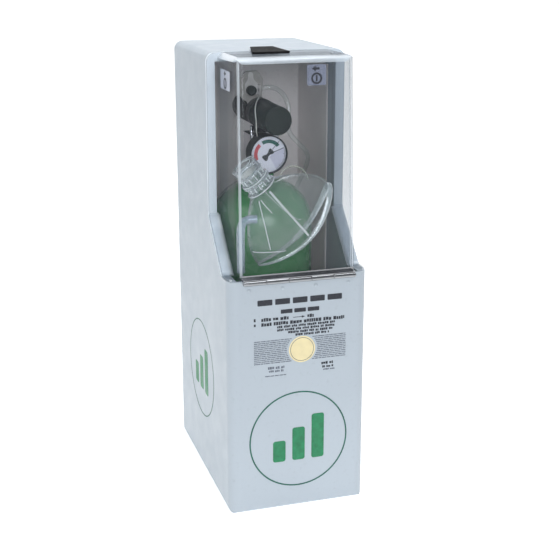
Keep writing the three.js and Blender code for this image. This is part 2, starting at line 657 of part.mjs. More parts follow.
// A short feed pipe stands on the valve block and ends under the collar.
const PIPE_X = -10.5;
const PIPE_RADIUS = 1.8;
const PIPE_FOOT_Z = BLOCK_TOP_Z + GAP;
const PIPE_TOP_Z = GRIP_Z - Math.sqrt(COLLAR_RADIUS ** 2 - (PIPE_X + PIPE_RADIUS) ** 2) - 2 * GAP;
const pipe = stood([[0, PIPE_FOOT_Z], [PIPE_RADIUS, PIPE_FOOT_Z], [PIPE_RADIUS, PIPE_TOP_Z],
  [0, PIPE_TOP_Z]], 12);
add('feed_pipe', pipe.translate(GRIP_X + PIPE_X, TANK_Y, 0), CHROME);

add('tamper_seal_wire', swept(circle(0.6, 6), [[-13.5, 99.5, 431.8], [-17, 93, 431.2], [-22.5, 84, 428],
  [-26.4, 77, 422], [-27, 73.5, 412], [-26, 72, 402], [-23.5, 71.5, 395.4]], 16), LATEX);

// ---------------------------------------------------------------- supply tube

const TUBE_ENTRY_Z = 66; // where the straight runs meet the coil
const upperRoute = [[-3.4, 123.2, 438.6], [4, 123, 439.4], [12, 119, 438], [19, 113, 431], [22.4, 108, 419],
  [21.6, 105, 405], [22, 104, 393], [31, 104, 381.5], [42, 108, 371], [49, 120, 360], [52, 138, 344],
  [50, 158, 322], [46, 172, 296], [47, 174, 268], [53, 163, 243], [58, 140, 224], [59, 112, 208], [59, 84, 192],
  [58, 58, 175], [56, 38, 152], [56, COIL_Y, 125], [56, COIL_Y, 98], [56, COIL_Y, TUBE_ENTRY_Z]];
add('supply_tube_upper', swept(circle(TUBE_RADIUS, 8), upperRoute, 52), TUBING);

const ELBOW_FOOT_Z = 263; // lower end of the mask's elbow
const lowerRoute = [[0, COIL_Y, TUBE_ENTRY_Z], [-2, 26, 90], [-14, 27, 125], [-31, 27, 165], [-46, 25, 205],
  [-54, 23, 235], [-56, 22, 252], [-56, 22, ELBOW_FOOT_Z]];
add('supply_tube_lower', swept(circle(TUBE_RADIUS, 10), lowerRoute, 20), TUBING);

const [coilInner, coilOuter, coilEase] = [COIL_RADIUS - COIL_HALF, COIL_RADIUS + COIL_HALF, 3];
const bundle = turned([[coilInner, -COIL_HALF + coilEase], [coilInner + coilEase, -COIL_HALF],
  [coilOuter - coilEase, -COIL_HALF], [coilOuter, -COIL_HALF + coilEase],
  [coilOuter, COIL_HALF - coilEase], [coilOuter - coilEase, COIL_HALF],
  [coilInner + coilEase, COIL_HALF], [coilInner, COIL_HALF - coilEase],
  [coilInner, -COIL_HALF + coilEase]], 32);
add('supply_tube_coil', bundle.translate(COIL_X, COIL_Y, COIL_Z), TUBING);

function coilTie() {
  const outer = COIL_HALF + 1.3;
  const shape = rectangle(-outer, -outer, outer, outer, 3);
  const reach = COIL_HALF + GAP;
  shape.holes.push(rectangle(-reach, -reach, reach, reach, 1));
  return across(shape, -2.5, 2.5).translate(COIL_X, COIL_Y, COIL_Z + COIL_RADIUS);
}
add('coil_tie', coilTie(), BLACK);

// ---------------------------------------------------------------- mask

const PORT_CENTRE = new THREE.Vector3(-30.2, 32, 347.5);
const RIM_CENTRE = new THREE.Vector3(0.2, 32, 307.4);
const RIM_LONG = new THREE.Vector3(0.686, 0.03, 0.727).normalize();
const RIM_OUT = new THREE.Vector3(0.727, 0, -0.686).normalize();
const BACKWARD = new THREE.Vector3(0, 1, 0);
const MASK_AXIS = RIM_CENTRE.clone().sub(PORT_CENTRE).normalize();
const PORT_LONG = RIM_LONG.clone().addScaledVector(MASK_AXIS, -RIM_LONG.dot(MASK_AXIS)).normalize();
const RIM_HALF_LONG = 56;
const RIM_HALF_WIDE = 15;
const RIM_BOW = 18;
const PORT_RADIUS = 16;

/** A point on the mask's dome: share 0 at the port and 1 at the rim, thinner by inset. */
function maskPoint(share, angle, inset) {
  const cos = Math.cos(angle);
  const sin = Math.sin(angle);
  const rim = RIM_CENTRE.clone()
    .addScaledVector(RIM_LONG, (RIM_HALF_LONG - inset) * cos)
    .addScaledVector(BACKWARD, (RIM_HALF_WIDE - inset) * sin)
    .addScaledVector(RIM_OUT, RIM_BOW * sin * sin);
  const port = PORT_CENTRE.clone()
    .addScaledVector(PORT_LONG, (PORT_RADIUS - inset) * cos)
    .addScaledVector(BACKWARD, (PORT_RADIUS - 2 - inset) * sin);
  const along = rim.clone().sub(port).dot(MASK_AXIS);
  const sideways = rim.clone().sub(port).addScaledVector(MASK_AXIS, -along);
  const swell = Math.sin((share * Math.PI) / 2) ** 0.85;
  return port.addScaledVector(MASK_AXIS, along * share).addScaledVector(sideways, swell);
}
const MASK_WALL = 1.4;
add('mask_dome', walled((s, t) => maskPoint(s, t, 0), (s, t) => maskPoint(s, t, MASK_WALL), 7, 28), CLEAR);

const CUSHION_RADIUS = 3.6;

function cushionPoint(angle, around) {
  const rim = maskPoint(1, angle, MASK_WALL / 2);
  const outward = rim.clone().sub(RIM_CENTRE);
  outward.addScaledVector(MASK_AXIS, -outward.dot(MASK_AXIS)).normalize();
  return rim.addScaledVector(MASK_AXIS, CUSHION_RADIUS + 0.8)
    .addScaledVector(outward, CUSHION_RADIUS * Math.cos(around))
    .addScaledVector(MASK_AXIS, CUSHION_RADIUS * Math.sin(around));
}
add('mask_cushion', loop(cushionPoint, 32, 8), CLEAR);

const port = new THREE.Group();
port.position.copy(PORT_CENTRE);
port.quaternion.setFromUnitVectors(new THREE.Vector3(0, 1, 0), MASK_AXIS.clone().negate());
station.add(port);

add('mask_valve_housing', turned([[10, 0.8], [16.5, 0.8], [16.5, 3.4], [12.5, 4.2], [12.5, 10], [15.2, 10.6],
  [15.2, 14], [12.2, 14.6], [12.2, 21], [10, 21], [10, 0.8]], 24), CLEAR, port);
add('mask_valve_disc', rod(9.4, 22.6, 23.4, 28), LATEX, port);

function valveCap() {
  const foot = 21 + GAP;
  const wall = turned([[10.6, foot], [14, foot], [14, 30], [11.5, 32.5], [10.6, 32.5], [10.6, foot]], 20);
  const spokes = [0, Math.PI / 2].map((turn) => box(-11, 11, 28, 30, -1.2, 1.2).rotateY(turn));
  return carve([wall, ...spokes]);
}
add('mask_valve_cap', valveCap(), CLEAR, port);

const elbowSection = ring(4.4, 2.8, 10);
const elbowRoute = [[-56, 22, ELBOW_FOOT_Z + GAP], [-56, 22, 285], [-56, 21.7, 306], [-54.5, 20.5, 315.5],
  [-50, 19, 319.5], [-44, 17.5, 320], [-40, 16.8, 320]];
add('mask_elbow', swept(elbowSection, elbowRoute, 16), CLEAR);

add('head_strap', swept(circle(1, 8), [[30, 51, 350], [28.5, 53, 358], [22, 55, 366], [12, 56, 369.5],
  [3, 55.5, 367], [-3, 54, 360], [-6, 53, 350]], 20), LATEX);

const object = new THREE.Group();
object.add(station);
export default object;
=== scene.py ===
"""Looks for the emergency oxygen station: case, clear cover, cylinder, gauge, lever, supply tube and mask.

Metres, in the part's own frame: +X right, -Y front, +Z up, with the origin on the floor under the middle.
"""

import json
import math
import random

import bmesh
import bpy
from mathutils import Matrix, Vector


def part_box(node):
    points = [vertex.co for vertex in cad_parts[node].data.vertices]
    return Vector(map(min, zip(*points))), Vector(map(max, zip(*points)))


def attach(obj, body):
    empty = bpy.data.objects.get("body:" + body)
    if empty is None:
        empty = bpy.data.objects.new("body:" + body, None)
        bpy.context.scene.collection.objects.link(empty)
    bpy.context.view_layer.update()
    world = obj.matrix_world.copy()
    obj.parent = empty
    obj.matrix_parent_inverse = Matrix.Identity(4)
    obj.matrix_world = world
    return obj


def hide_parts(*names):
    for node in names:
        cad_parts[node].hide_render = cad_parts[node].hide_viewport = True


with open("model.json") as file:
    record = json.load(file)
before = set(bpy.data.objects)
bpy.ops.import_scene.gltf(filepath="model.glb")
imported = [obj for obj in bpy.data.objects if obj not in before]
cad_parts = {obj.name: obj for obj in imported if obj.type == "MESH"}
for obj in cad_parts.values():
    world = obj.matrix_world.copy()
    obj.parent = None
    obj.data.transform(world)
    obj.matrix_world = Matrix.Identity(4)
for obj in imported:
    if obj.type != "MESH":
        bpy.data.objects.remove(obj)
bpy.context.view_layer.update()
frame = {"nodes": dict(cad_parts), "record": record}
NODES = frame["nodes"]
BODIES = frame["record"]["behaviour"]["bodies"]
BODY = {node: body for body, members in BODIES.items() for node in members}
SLOT = {part["node"]: part["material_slot"] for part in frame["record"]["subparts"]}
MM = 0.001
Y, Z = Vector((0, 1, 0)), Vector((0, 0, 1))


def middle(node):
    low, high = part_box(node)
    return (low + high) / 2


CASE_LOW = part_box("case_shell")[0]
FRONT = CASE_LOW.y
LEFT = CASE_LOW.x
SILL_Z = 259.4  # the foot of the opening, in millimetres above the floor
CAMERA_PLACE = (-0.3457, -1.1511, 0.5869)
CAMERA_TILT, CAMERA_TURN = math.radians(74.06), math.radians(-17.34)
CAMERA_LENS, CAMERA_SHIFT = 71.6, -0.0179

# ---------------------------------------------------------------- camera, stage and light


def make_camera():
    data = bpy.data.cameras.new("camera")
    data.sensor_width = 36
    data.lens = CAMERA_LENS
    data.shift_y = CAMERA_SHIFT
    camera = bpy.data.objects.new("camera", data)
    camera.location = CAMERA_PLACE
    camera.rotation_euler = (CAMERA_TILT, 0, CAMERA_TURN)
    bpy.context.scene.collection.objects.link(camera)
    bpy.context.scene.camera = camera


def softbox(name, spot, target, size, power, tone=(1, 1, 1)):
    data = bpy.data.lights.new(name, "AREA")
    data.shape = "RECTANGLE"
    data.size, data.size_y = size
    data.energy = power
    data.color = tone
    lamp = bpy.data.objects.new(name, data)
    lamp.location = spot
    lamp.rotation_euler = (Vector(target) - Vector(spot)).to_track_quat("-Z", "Y").to_euler()
    bpy.context.scene.collection.objects.link(lamp)


def make_light():
    centre = (0, 0, 0.25)
    softbox("key_light", (-1.4, -1.0, 1.6), centre, (1.3, 1.0), 5.0, (1, 1, 0.98))
    softbox("front_light", (-0.2, -2.2, 1.0), centre, (1.3, 1.0), 22.5, (0.98, 0.985, 1))
    softbox("top_light", (0.1, 0.2, 2.0), centre, (1.4, 1.4), 25)
    world = bpy.data.worlds.new("world")
    world.use_nodes = True
    sky = world.node_tree.nodes["Background"]
    sky.inputs["Color"].default_value = (0.90, 0.95, 1, 1)
    sky.inputs["Strength"].default_value = 0.25
    bpy.context.scene.world = world
    bpy.context.scene.view_settings.view_transform = "Standard"
    bpy.context.scene.cycles.transparent_max_bounces = 32


def make_stage():
    """A pale floor that curves up into a backdrop, and glows from just before the object backwards."""
    radius, back, front, top, half = 1.2, 3.2, -3.5, 4.0, 5.0
    profile = [(front, 0.0), (back - radius, 0.0)]
    profile += [(back - radius + radius * math.sin(a), radius - radius * math.cos(a))
                for a in (math.radians(6 * k) for k in range(1, 16))]
    profile.append((back, top))
    vertices = [(side * half, y, z) for y, z in profile for side in (-1, 1)]
    faces = [(2 * i, 2 * i + 1, 2 * i + 3, 2 * i + 2) for i in range(len(profile) - 1)]
    mesh = bpy.data.meshes.new("stage")
    mesh.from_pydata(vertices, [], faces)
    for face in mesh.polygons:
        face.use_smooth = True
    floor = bpy.data.objects.new("stage", mesh)
    bpy.context.scene.collection.objects.link(floor)
    material = bpy.data.materials.new("stage_paper")
    material.use_nodes = True
    paper = material.node_tree.nodes["Principled BSDF"]
    paper.inputs["Base Color"].default_value = (0.90, 0.90, 0.89, 1)
    paper.inputs["Roughness"].default_value = 0.9
    paper.inputs["Emission Color"].default_value = (1, 1, 1, 1)
    spot = material.node_tree.nodes.new("ShaderNodeTexCoord")
    parts = material.node_tree.nodes.new("ShaderNodeSeparateXYZ")
    link(material.node_tree, spot.outputs["Object"], parts.inputs[0])
    glow = spread(material.node_tree, parts.outputs["Y"], 0.0, 0.56, -0.6, -0.28)
    link(material.node_tree, glow, paper.inputs["Emission Strength"])
    mesh.materials.append(material)


# ---------------------------------------------------------------- materials


def link(tree, source, target):
    tree.links.new(source, target)


def noise(tree, scale, detail=3, stretch=(1, 1, 1)):
    """A noise over the piece's own space; scale counts features in a metre."""
    place = tree.nodes.new("ShaderNodeTexCoord")
    mapping = tree.nodes.new("ShaderNodeMapping")
    mapping.inputs["Scale"].default_value = stretch
    texture = tree.nodes.new("ShaderNodeTexNoise")
    texture.inputs["Scale"].default_value = scale
    texture.inputs["Detail"].default_value = detail
    link(tree, place.outputs["Object"], mapping.inputs["Vector"])
    link(tree, mapping.outputs["Vector"], texture.inputs["Vector"])
    return texture.outputs["Fac"]


def cells(tree, scale):
    """Leather-like cells over the piece's own space."""
    place = tree.nodes.new("ShaderNodeTexCoord")
    texture = tree.nodes.new("ShaderNodeTexVoronoi")
    texture.feature = "SMOOTH_F1"
    texture.inputs["Scale"].default_value = scale
    link(tree, place.outputs["Object"], texture.inputs["Vector"])
    return texture.outputs["Distance"]


def spread(tree, value, low, high, start=0.3, end=0.7):
    """Maps a value between start and end to low and high."""
    node = tree.nodes.new("ShaderNodeMapRange")
    node.inputs["From Min"].default_value = start
    node.inputs["From Max"].default_value = end
    node.inputs["To Min"].default_value = low
    node.inputs["To Max"].default_value = high
    link(tree, value, node.inputs["Value"])
    return node.outputs["Result"]


def between(tree, share, first, second):
    """A colour between two others; either may be a colour or a socket."""
    node = tree.nodes.new("ShaderNodeMix")
    node.data_type = "RGBA"
    link(tree, share, node.inputs[0])
    for socket, colour in ((node.inputs[6], first), (node.inputs[7], second)):
        if isinstance(colour, bpy.types.NodeSocket):
            link(tree, colour, socket)
        else:
            socket.default_value = (*colour, 1)
    return node.outputs[2]


def bump(tree, height, depth, before=None):
    """Raises a surface by height times depth, in metres, on top of an earlier bump."""
    node = tree.nodes.new("ShaderNodeBump")
    node.inputs["Strength"].default_value = 1
    node.inputs["Distance"].default_value = depth
    link(tree, height, node.inputs["Height"])
    if before is not None:
        link(tree, before, node.inputs["Normal"])
    return node.outputs["Normal"]


def shade(colour, share):
    return tuple(min(1.0, channel * share) for channel in colour)


def new_material(name):
    material = bpy.data.materials.new(name)
    material.use_nodes = True
    return material, material.node_tree, material.node_tree.nodes["Principled BSDF"]


def solid(name, colour, rough, drift=0.05, drift_scale=14, grain=900, depth=0.02, leather=0,
          stretch=(1, 1, 1), metal=0.0, dirt=0.0, **fixed):
    """A finish whose colour drifts, whose gloss varies, over a fine grain; depths are in millimetres."""
    material, tree, surface = new_material(name)
    surface.inputs["Metallic"].default_value = metal
    for socket, value in fixed.items():
        surface.inputs[socket.replace("_", " ")].default_value = value
    wide = noise(tree, drift_scale, 5)
    tint = between(tree, spread(tree, wide, 0, 1), shade(colour, 1 - drift), shade(colour, 1 + drift))
    if dirt:
        specks = noise(tree, 260, 6)
        tint = between(tree, spread(tree, specks, 0, dirt, 0.58, 0.78), tint, shade(colour, 0.35))
    link(tree, tint, surface.inputs["Base Color"])
    smudge = noise(tree, 55, 4, stretch)
    link(tree, spread(tree, smudge, rough - 0.07, rough + 0.09), surface.inputs["Roughness"])
    fine = noise(tree, grain, 4, stretch)
    normal = bump(tree, fine, depth * MM)
    if leather:
        normal = bump(tree, cells(tree, 700), leather * MM, normal)
    link(tree, normal, surface.inputs["Normal"])
    return material


def woven(name, colour, thread):
    """Webbing: two crossed bands of thread, thread metres apart, and a little fluff."""
    material, tree, surface = new_material(name)
    place = tree.nodes.new("ShaderNodeTexCoord")
    bands = []
    for direction in ("X", "Z"):
        wave = tree.nodes.new("ShaderNodeTexWave")
        wave.bands_direction = direction
        wave.inputs["Scale"].default_value = 0.5 / thread / math.pi
        wave.inputs["Distortion"].default_value = 0.6
        link(tree, place.outputs["Object"], wave.inputs["Vector"])
        bands.append(wave.outputs["Fac"])
    weave = tree.nodes.new("ShaderNodeMath")
    weave.operation = "MULTIPLY"
    link(tree, bands[0], weave.inputs[0])
    link(tree, bands[1], weave.inputs[1])
    tint = between(tree, weave.outputs[0], shade(colour, 0.6), shade(colour, 1.6))
    link(tree, tint, surface.inputs["Base Color"])
    surface.inputs["Specular IOR Level"].default_value = 0.25
    link(tree, spread(tree, noise(tree, 300), 0.7, 0.95), surface.inputs["Roughness"])
    fluff = bump(tree, noise(tree, 1800, 2), 0.05 * MM)
    link(tree, bump(tree, weave.outputs[0], 0.25 * MM, fluff), surface.inputs["Normal"])
    return material


def power_of(tree, value, exponent):
    node = tree.nodes.new("ShaderNodeMath")
    node.operation = "POWER"
    node.inputs[1].default_value = exponent
    link(tree, value, node.inputs[0])
    return node.outputs[0]


def mixed(tree, share, first, second):
    """One shader laid over another by share."""
    node = tree.nodes.new("ShaderNodeMixShader")
    for source, target in zip((share, first, second), node.inputs):
        link(tree, source, target)
    return node.outputs[0]


def clear(name, tint, haze, edge, rough=0.03, wave=40, depth=0.2, milk=(0.86, 0.92, 0.95), shine=0.05,
          power=4.0, dark=0.8, mirror=0.95):
    """A clear sheet or moulding: see-through, a little milky, more so where it turns away, and glossy."""
    material, tree, surface = new_material(name)
    tree.nodes.remove(surface)
    normal = bump(tree, noise(tree, wave, 2), depth * MM)
    facing = tree.nodes.new("ShaderNodeLayerWeight")
    facing.inputs["Blend"].default_value = 0.5
    link(tree, normal, facing.inputs["Normal"])
    steep = power_of(tree, facing.outputs["Facing"], power)
    slant = power_of(tree, facing.outputs["Facing"], 2.0)
    through = tree.nodes.new("ShaderNodeBsdfTransparent")
    link(tree, between(tree, slant, tint, shade(tint, dark)), through.inputs["Color"])
    body = tree.nodes.new("ShaderNodeBsdfDiffuse")
    smear = noise(tree, 22, 5)
    link(tree, between(tree, spread(tree, smear, 0, 1), shade(milk, 0.9), milk), body.inputs["Color"])
    cloud = mixed(tree, spread(tree, steep, haze, edge, 0, 1), through.outputs[0], body.outputs[0])
    gloss = tree.nodes.new("ShaderNodeBsdfAnisotropic")
    gloss.inputs["Roughness"].default_value = rough
    gloss.inputs["Color"].default_value = (0.97, 0.98, 1, 1)
    link(tree, normal, gloss.inputs["Normal"])
    face = mixed(tree, spread(tree, steep, shine, mirror, 0, 1), cloud, gloss.outputs[0])
    link(tree, face, tree.nodes["Material Output"].inputs["Surface"])
    return material


LOOKS = {
    "case": solid("case_plastic", (0.455, 0.515, 0.575), 0.42, drift=0.025, drift_scale=6, grain=1500,
                  depth=0.03, leather=0.03, dirt=0.12, Specular_IOR_Level=0.45),
    # The ledge's paler colour is painted light, brightening the ledge round the opening where it lies in
    # shade.
    "ledge": solid("case_ledge_painted_light", (0.78, 0.84, 0.89), 0.34, drift=0.03, drift_scale=12, grain=1500,
                   depth=0.02, dirt=0.1),
    "liner": solid("liner_plastic", (0.86, 0.81, 0.80), 0.5, drift=0.06, grain=1200, depth=0.02, dirt=0.2),
    "steel": solid("zinc_steel", (0.36, 0.37, 0.39), 0.16, drift=0.08, drift_scale=60, grain=700,
                   depth=0.01, stretch=(0.15, 1, 1), metal=1.0),
    "chrome": solid("chrome_plate", (0.80, 0.80, 0.83), 0.14, drift=0.04, drift_scale=40, grain=400,
                    depth=0.006, metal=1.0),
    "lever": solid("lever_plate", (0.40, 0.39, 0.38), 0.34, drift=0.1, drift_scale=80, grain=900,
                   depth=0.01, metal=0.8),
    "brass": solid("brass", (0.62, 0.47, 0.20), 0.26, drift=0.1, drift_scale=70, grain=900, depth=0.01,
                   metal=1.0),
    "cylinder": solid("cylinder_enamel", (0.045, 0.235, 0.075), 0.24, drift=0.07, drift_scale=9, grain=420,
                      depth=0.03, dirt=0.25, Coat_Weight=0.5, Coat_Roughness=0.12),
    "black": solid("black_plastic", (0.016, 0.018, 0.019), 0.42, drift=0.15, grain=1300, depth=0.02,
                   dirt=0.1),
    "rubber": solid("grip_rubber", (0.006, 0.012, 0.010), 0.5, drift=0.25, drift_scale=50, grain=1500,
                    depth=0.06, leather=0.05, Specular_IOR_Level=0.35),
    "boot": solid("boot_rubber", (0.02, 0.02, 0.021), 0.75, drift=0.2, grain=800, depth=0.05),
    "dial": solid("dial_enamel", (0.80, 0.78, 0.83), 0.4, drift=0.03, grain=1500, depth=0.005),
    "putty": solid("bracket_coating", (0.25, 0.24, 0.225), 0.45, drift=0.1, drift_scale=60, grain=1100,
                   depth=0.02, dirt=0.35, metal=0.2),
    "latex": solid("latex", (0.60, 0.595, 0.55), 0.55, drift=0.12, drift_scale=120, grain=1500, depth=0.02,
                   Subsurface_Weight=0.1),
    "band": clear("head_band_elastic", (0.9, 0.9, 0.85), 0.30, 0.7, rough=0.3, wave=200, depth=0.1,
                  milk=(0.66, 0.68, 0.62), shine=0.02, power=2.5),
    "webbing": woven("strap_webbing", (0.02, 0.021, 0.022), 0.0012),
    "hook": woven("hook_and_loop", (0.007, 0.0075, 0.009), 0.0008),
    "cover": clear("cover_acrylic", (0.97, 0.98, 0.99), 0.012, 0.08, rough=0.03, wave=9, depth=0.25,
                   milk=(0.78, 0.86, 0.98), shine=0.012, power=6.0, dark=0.6, mirror=0.2),
    # Milkier, whiter acrylic for the cover's corners: a painted highlight standing in for the bright bands
    # along them.
    "corner": clear("cover_corner_painted_highlight", (0.9, 0.94, 0.97), 0.36, 0.75, rough=0.04, wave=9, depth=0.25,
                    milk=(0.86, 0.92, 0.98), shine=0.05),
    "lens": clear("gauge_glass", (0.97, 0.98, 0.99), 0.004, 0.2, rough=0.02, wave=15, depth=0.02,
                  shine=0.01),
    "mask": clear("mask_vinyl", (0.985, 0.99, 0.99), 0.028, 0.6, rough=0.05, wave=75, depth=0.9,
                  milk=(0.80, 0.88, 0.88), shine=0.025, power=3.6, dark=0.6),
    "rim": clear("mask_rim_vinyl", (0.95, 0.975, 0.97), 0.20, 0.85, rough=0.05, wave=110, depth=0.5,
                 shine=0.07, power=2.5, dark=0.5),
    # Near-white vinyl for the fold beads and the valve's ribs and ring edges: partly thick moulded wall,
    # partly painted highlight.
    "fold": clear("mask_fold_highlight_vinyl", (0.95, 0.975, 0.97), 0.62, 0.95, rough=0.06, wave=90, depth=0.2,
                  milk=(0.88, 0.94, 0.94), shine=0.06, power=2.5),
    "moulding": clear("valve_moulding", (0.95, 0.965, 0.97), 0.03, 0.55, rough=0.03, wave=240, depth=0.9,
                      shine=0.09, power=2.6, dark=0.3),
    "elbow": clear("elbow_moulding", (0.90, 0.93, 0.97), 0.13, 0.8, rough=0.12, wave=90, depth=0.3,
                   milk=(0.70, 0.79, 0.92), shine=0.05, power=2.2, dark=0.6),
    "tubing": clear("supply_tubing", (0.95, 0.96, 0.95), 0.05, 0.85, rough=0.05, wave=120, depth=0.1,
                    milk=(0.80, 0.84, 0.82), shine=0.07),
    "black_ink": solid("black_ink", (0.02, 0.024, 0.035), 0.5, drift=0.35, drift_scale=400, grain=1500,
                       depth=0.004),
    "grey_ink": solid("grey_ink", (0.13, 0.15, 0.19), 0.5, drift=0.35, drift_scale=500, grain=1500,
                      depth=0.004),
    "green_ink": solid("green_ink", (0.012, 0.205, 0.085), 0.45, drift=0.2, drift_scale=200, grain=1500,
                       depth=0.004),
    "line_ink": solid("emblem_line_ink", (0.015, 0.115, 0.085), 0.5, drift=0.25, drift_scale=200,
                      grain=1500, depth=0.004),
    "red_ink": solid("red_ink", (0.60, 0.07, 0.08), 0.45, drift=0.15, drift_scale=300, grain=1500,
                     depth=0.004),
    "lilac_ink": solid("lilac_ink", (0.64, 0.62, 0.72), 0.45, drift=0.05, drift_scale=300, grain=1500,
                       depth=0.004),
    "label": solid("label_yellow", (0.80, 0.70, 0.42), 0.4, drift=0.06, drift_scale=90, grain=1300,
                   depth=0.006),
    "sticker": clear("sticker_film", (0.80, 0.84, 0.92), 0.22, 0.5, rough=0.3, wave=60, depth=0.05,
                     milk=(0.50, 0.54, 0.68), shine=0.02),
}

# ---------------------------------------------------------------- mesh helpers


def place(name, data, look, body, slot):
    piece = bpy.data.objects.new(name, data)
    bpy.context.scene.collection.objects.link(piece)
    data.materials.clear()
    data.materials.append(LOOKS[look])
    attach(piece, body)
    return piece


def smooth(piece, angle=35):
    for face in piece.data.polygons:
        face.use_smooth = True
    piece.data.set_sharp_from_angle(angle=math.radians(angle))


def ease(piece, width, segments=2, angle=30):
    """Rounds the edges that turn by more than angle; width is in millimetres."""
    modifier = piece.modifiers.new("eased_edges", "BEVEL")
    modifier.width = width * MM
    modifier.segments = segments
    modifier.limit_method = "ANGLE"
    modifier.angle_limit = math.radians(angle)
    modifier.use_clamp_overlap = True
    smooth(piece, 60)
    evening = piece.modifiers.new("even_normals", "WEIGHTED_NORMAL")
    evening.keep_sharp = True


def refine(node, look, width=0.3, segments=2, angle=30):
    """A finer copy of a CAD node: its flat faces joined and its edges rounded."""
    mesh = bpy.data.meshes.new(node + "_finish")
    work = bmesh.new()
    work.from_mesh(NODES[node].data)
    bmesh.ops.remove_doubles(work, verts=work.verts, dist=2e-6)
    bmesh.ops.dissolve_limit(work, angle_limit=math.radians(0.7), verts=work.verts, edges=work.edges)
    work.to_mesh(mesh)
    work.free()
    piece = place(node + "_finish", mesh, look, BODY[node], SLOT[node])
    if width:
        ease(piece, width, segments, angle)
    else:
        smooth(piece)
    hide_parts(node)
    return piece


def clean_mesh(name, vertices, faces, turned=False):
    """A mesh with its touching points joined and its faces turned outwards."""
    mesh = bpy.data.meshes.new(name)
    mesh.from_pydata([tuple(v) for v in vertices], [], faces)
    work = bmesh.new()
    work.from_mesh(mesh)
    bmesh.ops.remove_doubles(work, verts=work.verts, dist=1e-6)
    if turned:
        bmesh.ops.dissolve_degenerate(work, edges=work.edges, dist=1e-7)
    bmesh.ops.recalc_face_normals(work, faces=work.faces)
    work.to_mesh(mesh)
    work.free()
    return mesh


def mesh_piece(name, vertices, faces, look, like):
    """A mesh that rides on the body of the CAD node named by like."""
    return place(name, clean_mesh(name, vertices, faces), look, BODY[like], SLOT[like])


def mark_faces(piece, look, chosen):
    """Gives the faces that chosen picks a look of their own."""
    piece.data.materials.append(LOOKS[look])
    for face in piece.data.polygons:
        if chosen(face):
            face.material_index = 1


def lathe(name, profile, centre, axis, look, like, steps=96, bevel=0.25):
    """A turned piece; profile holds (radius, height) in millimetres, height along axis from centre."""
    axis = Vector(axis).normalized()
    side = axis.orthogonal().normalized()
    up = axis.cross(side)
    vertices, faces = [], []
    for radius, height in profile:
        for k in range(steps):
            turn = 2 * math.pi * k / steps
            ray = side * math.cos(turn) + up * math.sin(turn)
            vertices.append(Vector(centre) + (ray * radius + axis * height) * MM)
    for i in range(len(profile) - 1):
        for k in range(steps):
            a, b = i * steps + k, i * steps + (k + 1) % steps
            faces.append((a, b, b + steps, a + steps))
    piece = place(name, clean_mesh(name, vertices, faces, True), look, BODY[like], SLOT[like])
    if bevel:
        ease(piece, bevel, 2, 25)
    else:
        smooth(piece)
    return piece


def spline(points, step):
    """Points on a centripetal Catmull-Rom curve, about step metres apart."""
    points = [Vector(p) for p in points]
    ends = [2 * points[0] - points[1], *points, 2 * points[-1] - points[-2]]
    out = []
    for p0, p1, p2, p3 in zip(ends, ends[1:], ends[2:], ends[3:]):
        d0, d1, d2 = [max((b - a).length, 1e-9) ** 0.5 for a, b in ((p0, p1), (p1, p2), (p2, p3))]
        start = ((p1 - p0) / d0 - (p2 - p0) / (d0 + d1) + (p2 - p1) / d1) * d1
        end = ((p2 - p1) / d1 - (p3 - p1) / (d1 + d2) + (p3 - p2) / d2) * d1
        count = max(1, round((p2 - p1).length / step))
        for k in range(count):
            t = k / count
            out.append(p1 * (2 * t**3 - 3 * t**2 + 1) + start * (t**3 - 2 * t**2 + t)
                       + p2 * (3 * t**2 - 2 * t**3) + end * (t**3 - t**2))
    out.append(points[-1])
    return out


def cord_curve(name, points, radius, look, body, slot, sides=6):
    """A round cord of one open spline along the points."""
    data = bpy.data.curves.new(name, "CURVE")
    data.dimensions = "3D"
    line = data.splines.new("POLY")
    line.points.add(len(points) - 1)
    for target, point in zip(line.points, points):
        target.co = (*point, 1)
    line.use_smooth = True
    data.bevel_depth = radius
    data.bevel_resolution = sides
    data.use_fill_caps = True
    return place(name, data, look, body, slot)


# ---------------------------------------------------------------- flat shapes


def flat_piece(name, outlines, where, look, like, thick=0.12):
    """Thin closed shapes; where(u, v, out) places a point given in millimetres, out being its height."""
    vertices, faces = [], []
    for outline in outlines:
        first, count = len(vertices), len(outline)
        vertices += [where(u, v, thick) for u, v in outline] + [where(u, v, 0) for u, v in outline]
        faces.append(tuple(range(first, first + count)))
        faces.append(tuple(reversed(range(first + count, first + 2 * count))))
        for k in range(count):
            a, b = first + k, first + (k + 1) % count
            faces.append((a, a + count, b + count, b))
    return mesh_piece(name, vertices, faces, look, like)


def polar(radius, degrees):
    return radius * math.cos(math.radians(degrees)), radius * math.sin(math.radians(degrees))


def circle(centre_u, centre_v, radius, count=72):
    """A round outline."""
    ring = [polar(radius, 360 * k / count) for k in range(count)]
    return [(centre_u + u, centre_v + v) for u, v in ring]


def rounded(u0, v0, u1, v1, radius, steps=5):
    """A rectangle with round corners."""
    out = []
    for cu, cv, start in ((u1 - radius, v0 + radius, -90), (u1 - radius, v1 - radius, 0),
                          (u0 + radius, v1 - radius, 90), (u0 + radius, v0 + radius, 180)):
        for k in range(steps + 1):
            du, dv = polar(radius, start + 90 * k / steps)
            out.append((cu + du, cv + dv))
    return out


def outline_band(points, width):
    """Quads that follow a closed outline, width millimetres wide."""
    count = len(points)
    rails = []
    for k in range(count):
        before, here, after = [Vector((*points[i % count], 0)) for i in (k - 1, k, k + 1)]
        first, second = (here - before).normalized(), (after - here).normalized()
        normal = Vector((-(first.y + second.y), first.x + second.x, 0)).normalized()
        rails.append((here + normal * width / 2, here - normal * width / 2))
    bands = []
    for k in range(count):
        (a, b), (c, d) = rails[k], rails[(k + 1) % count]
        bands.append([(p.x, p.y) for p in (a, c, d, b)])
    return bands


# ---------------------------------------------------------------- supply tube

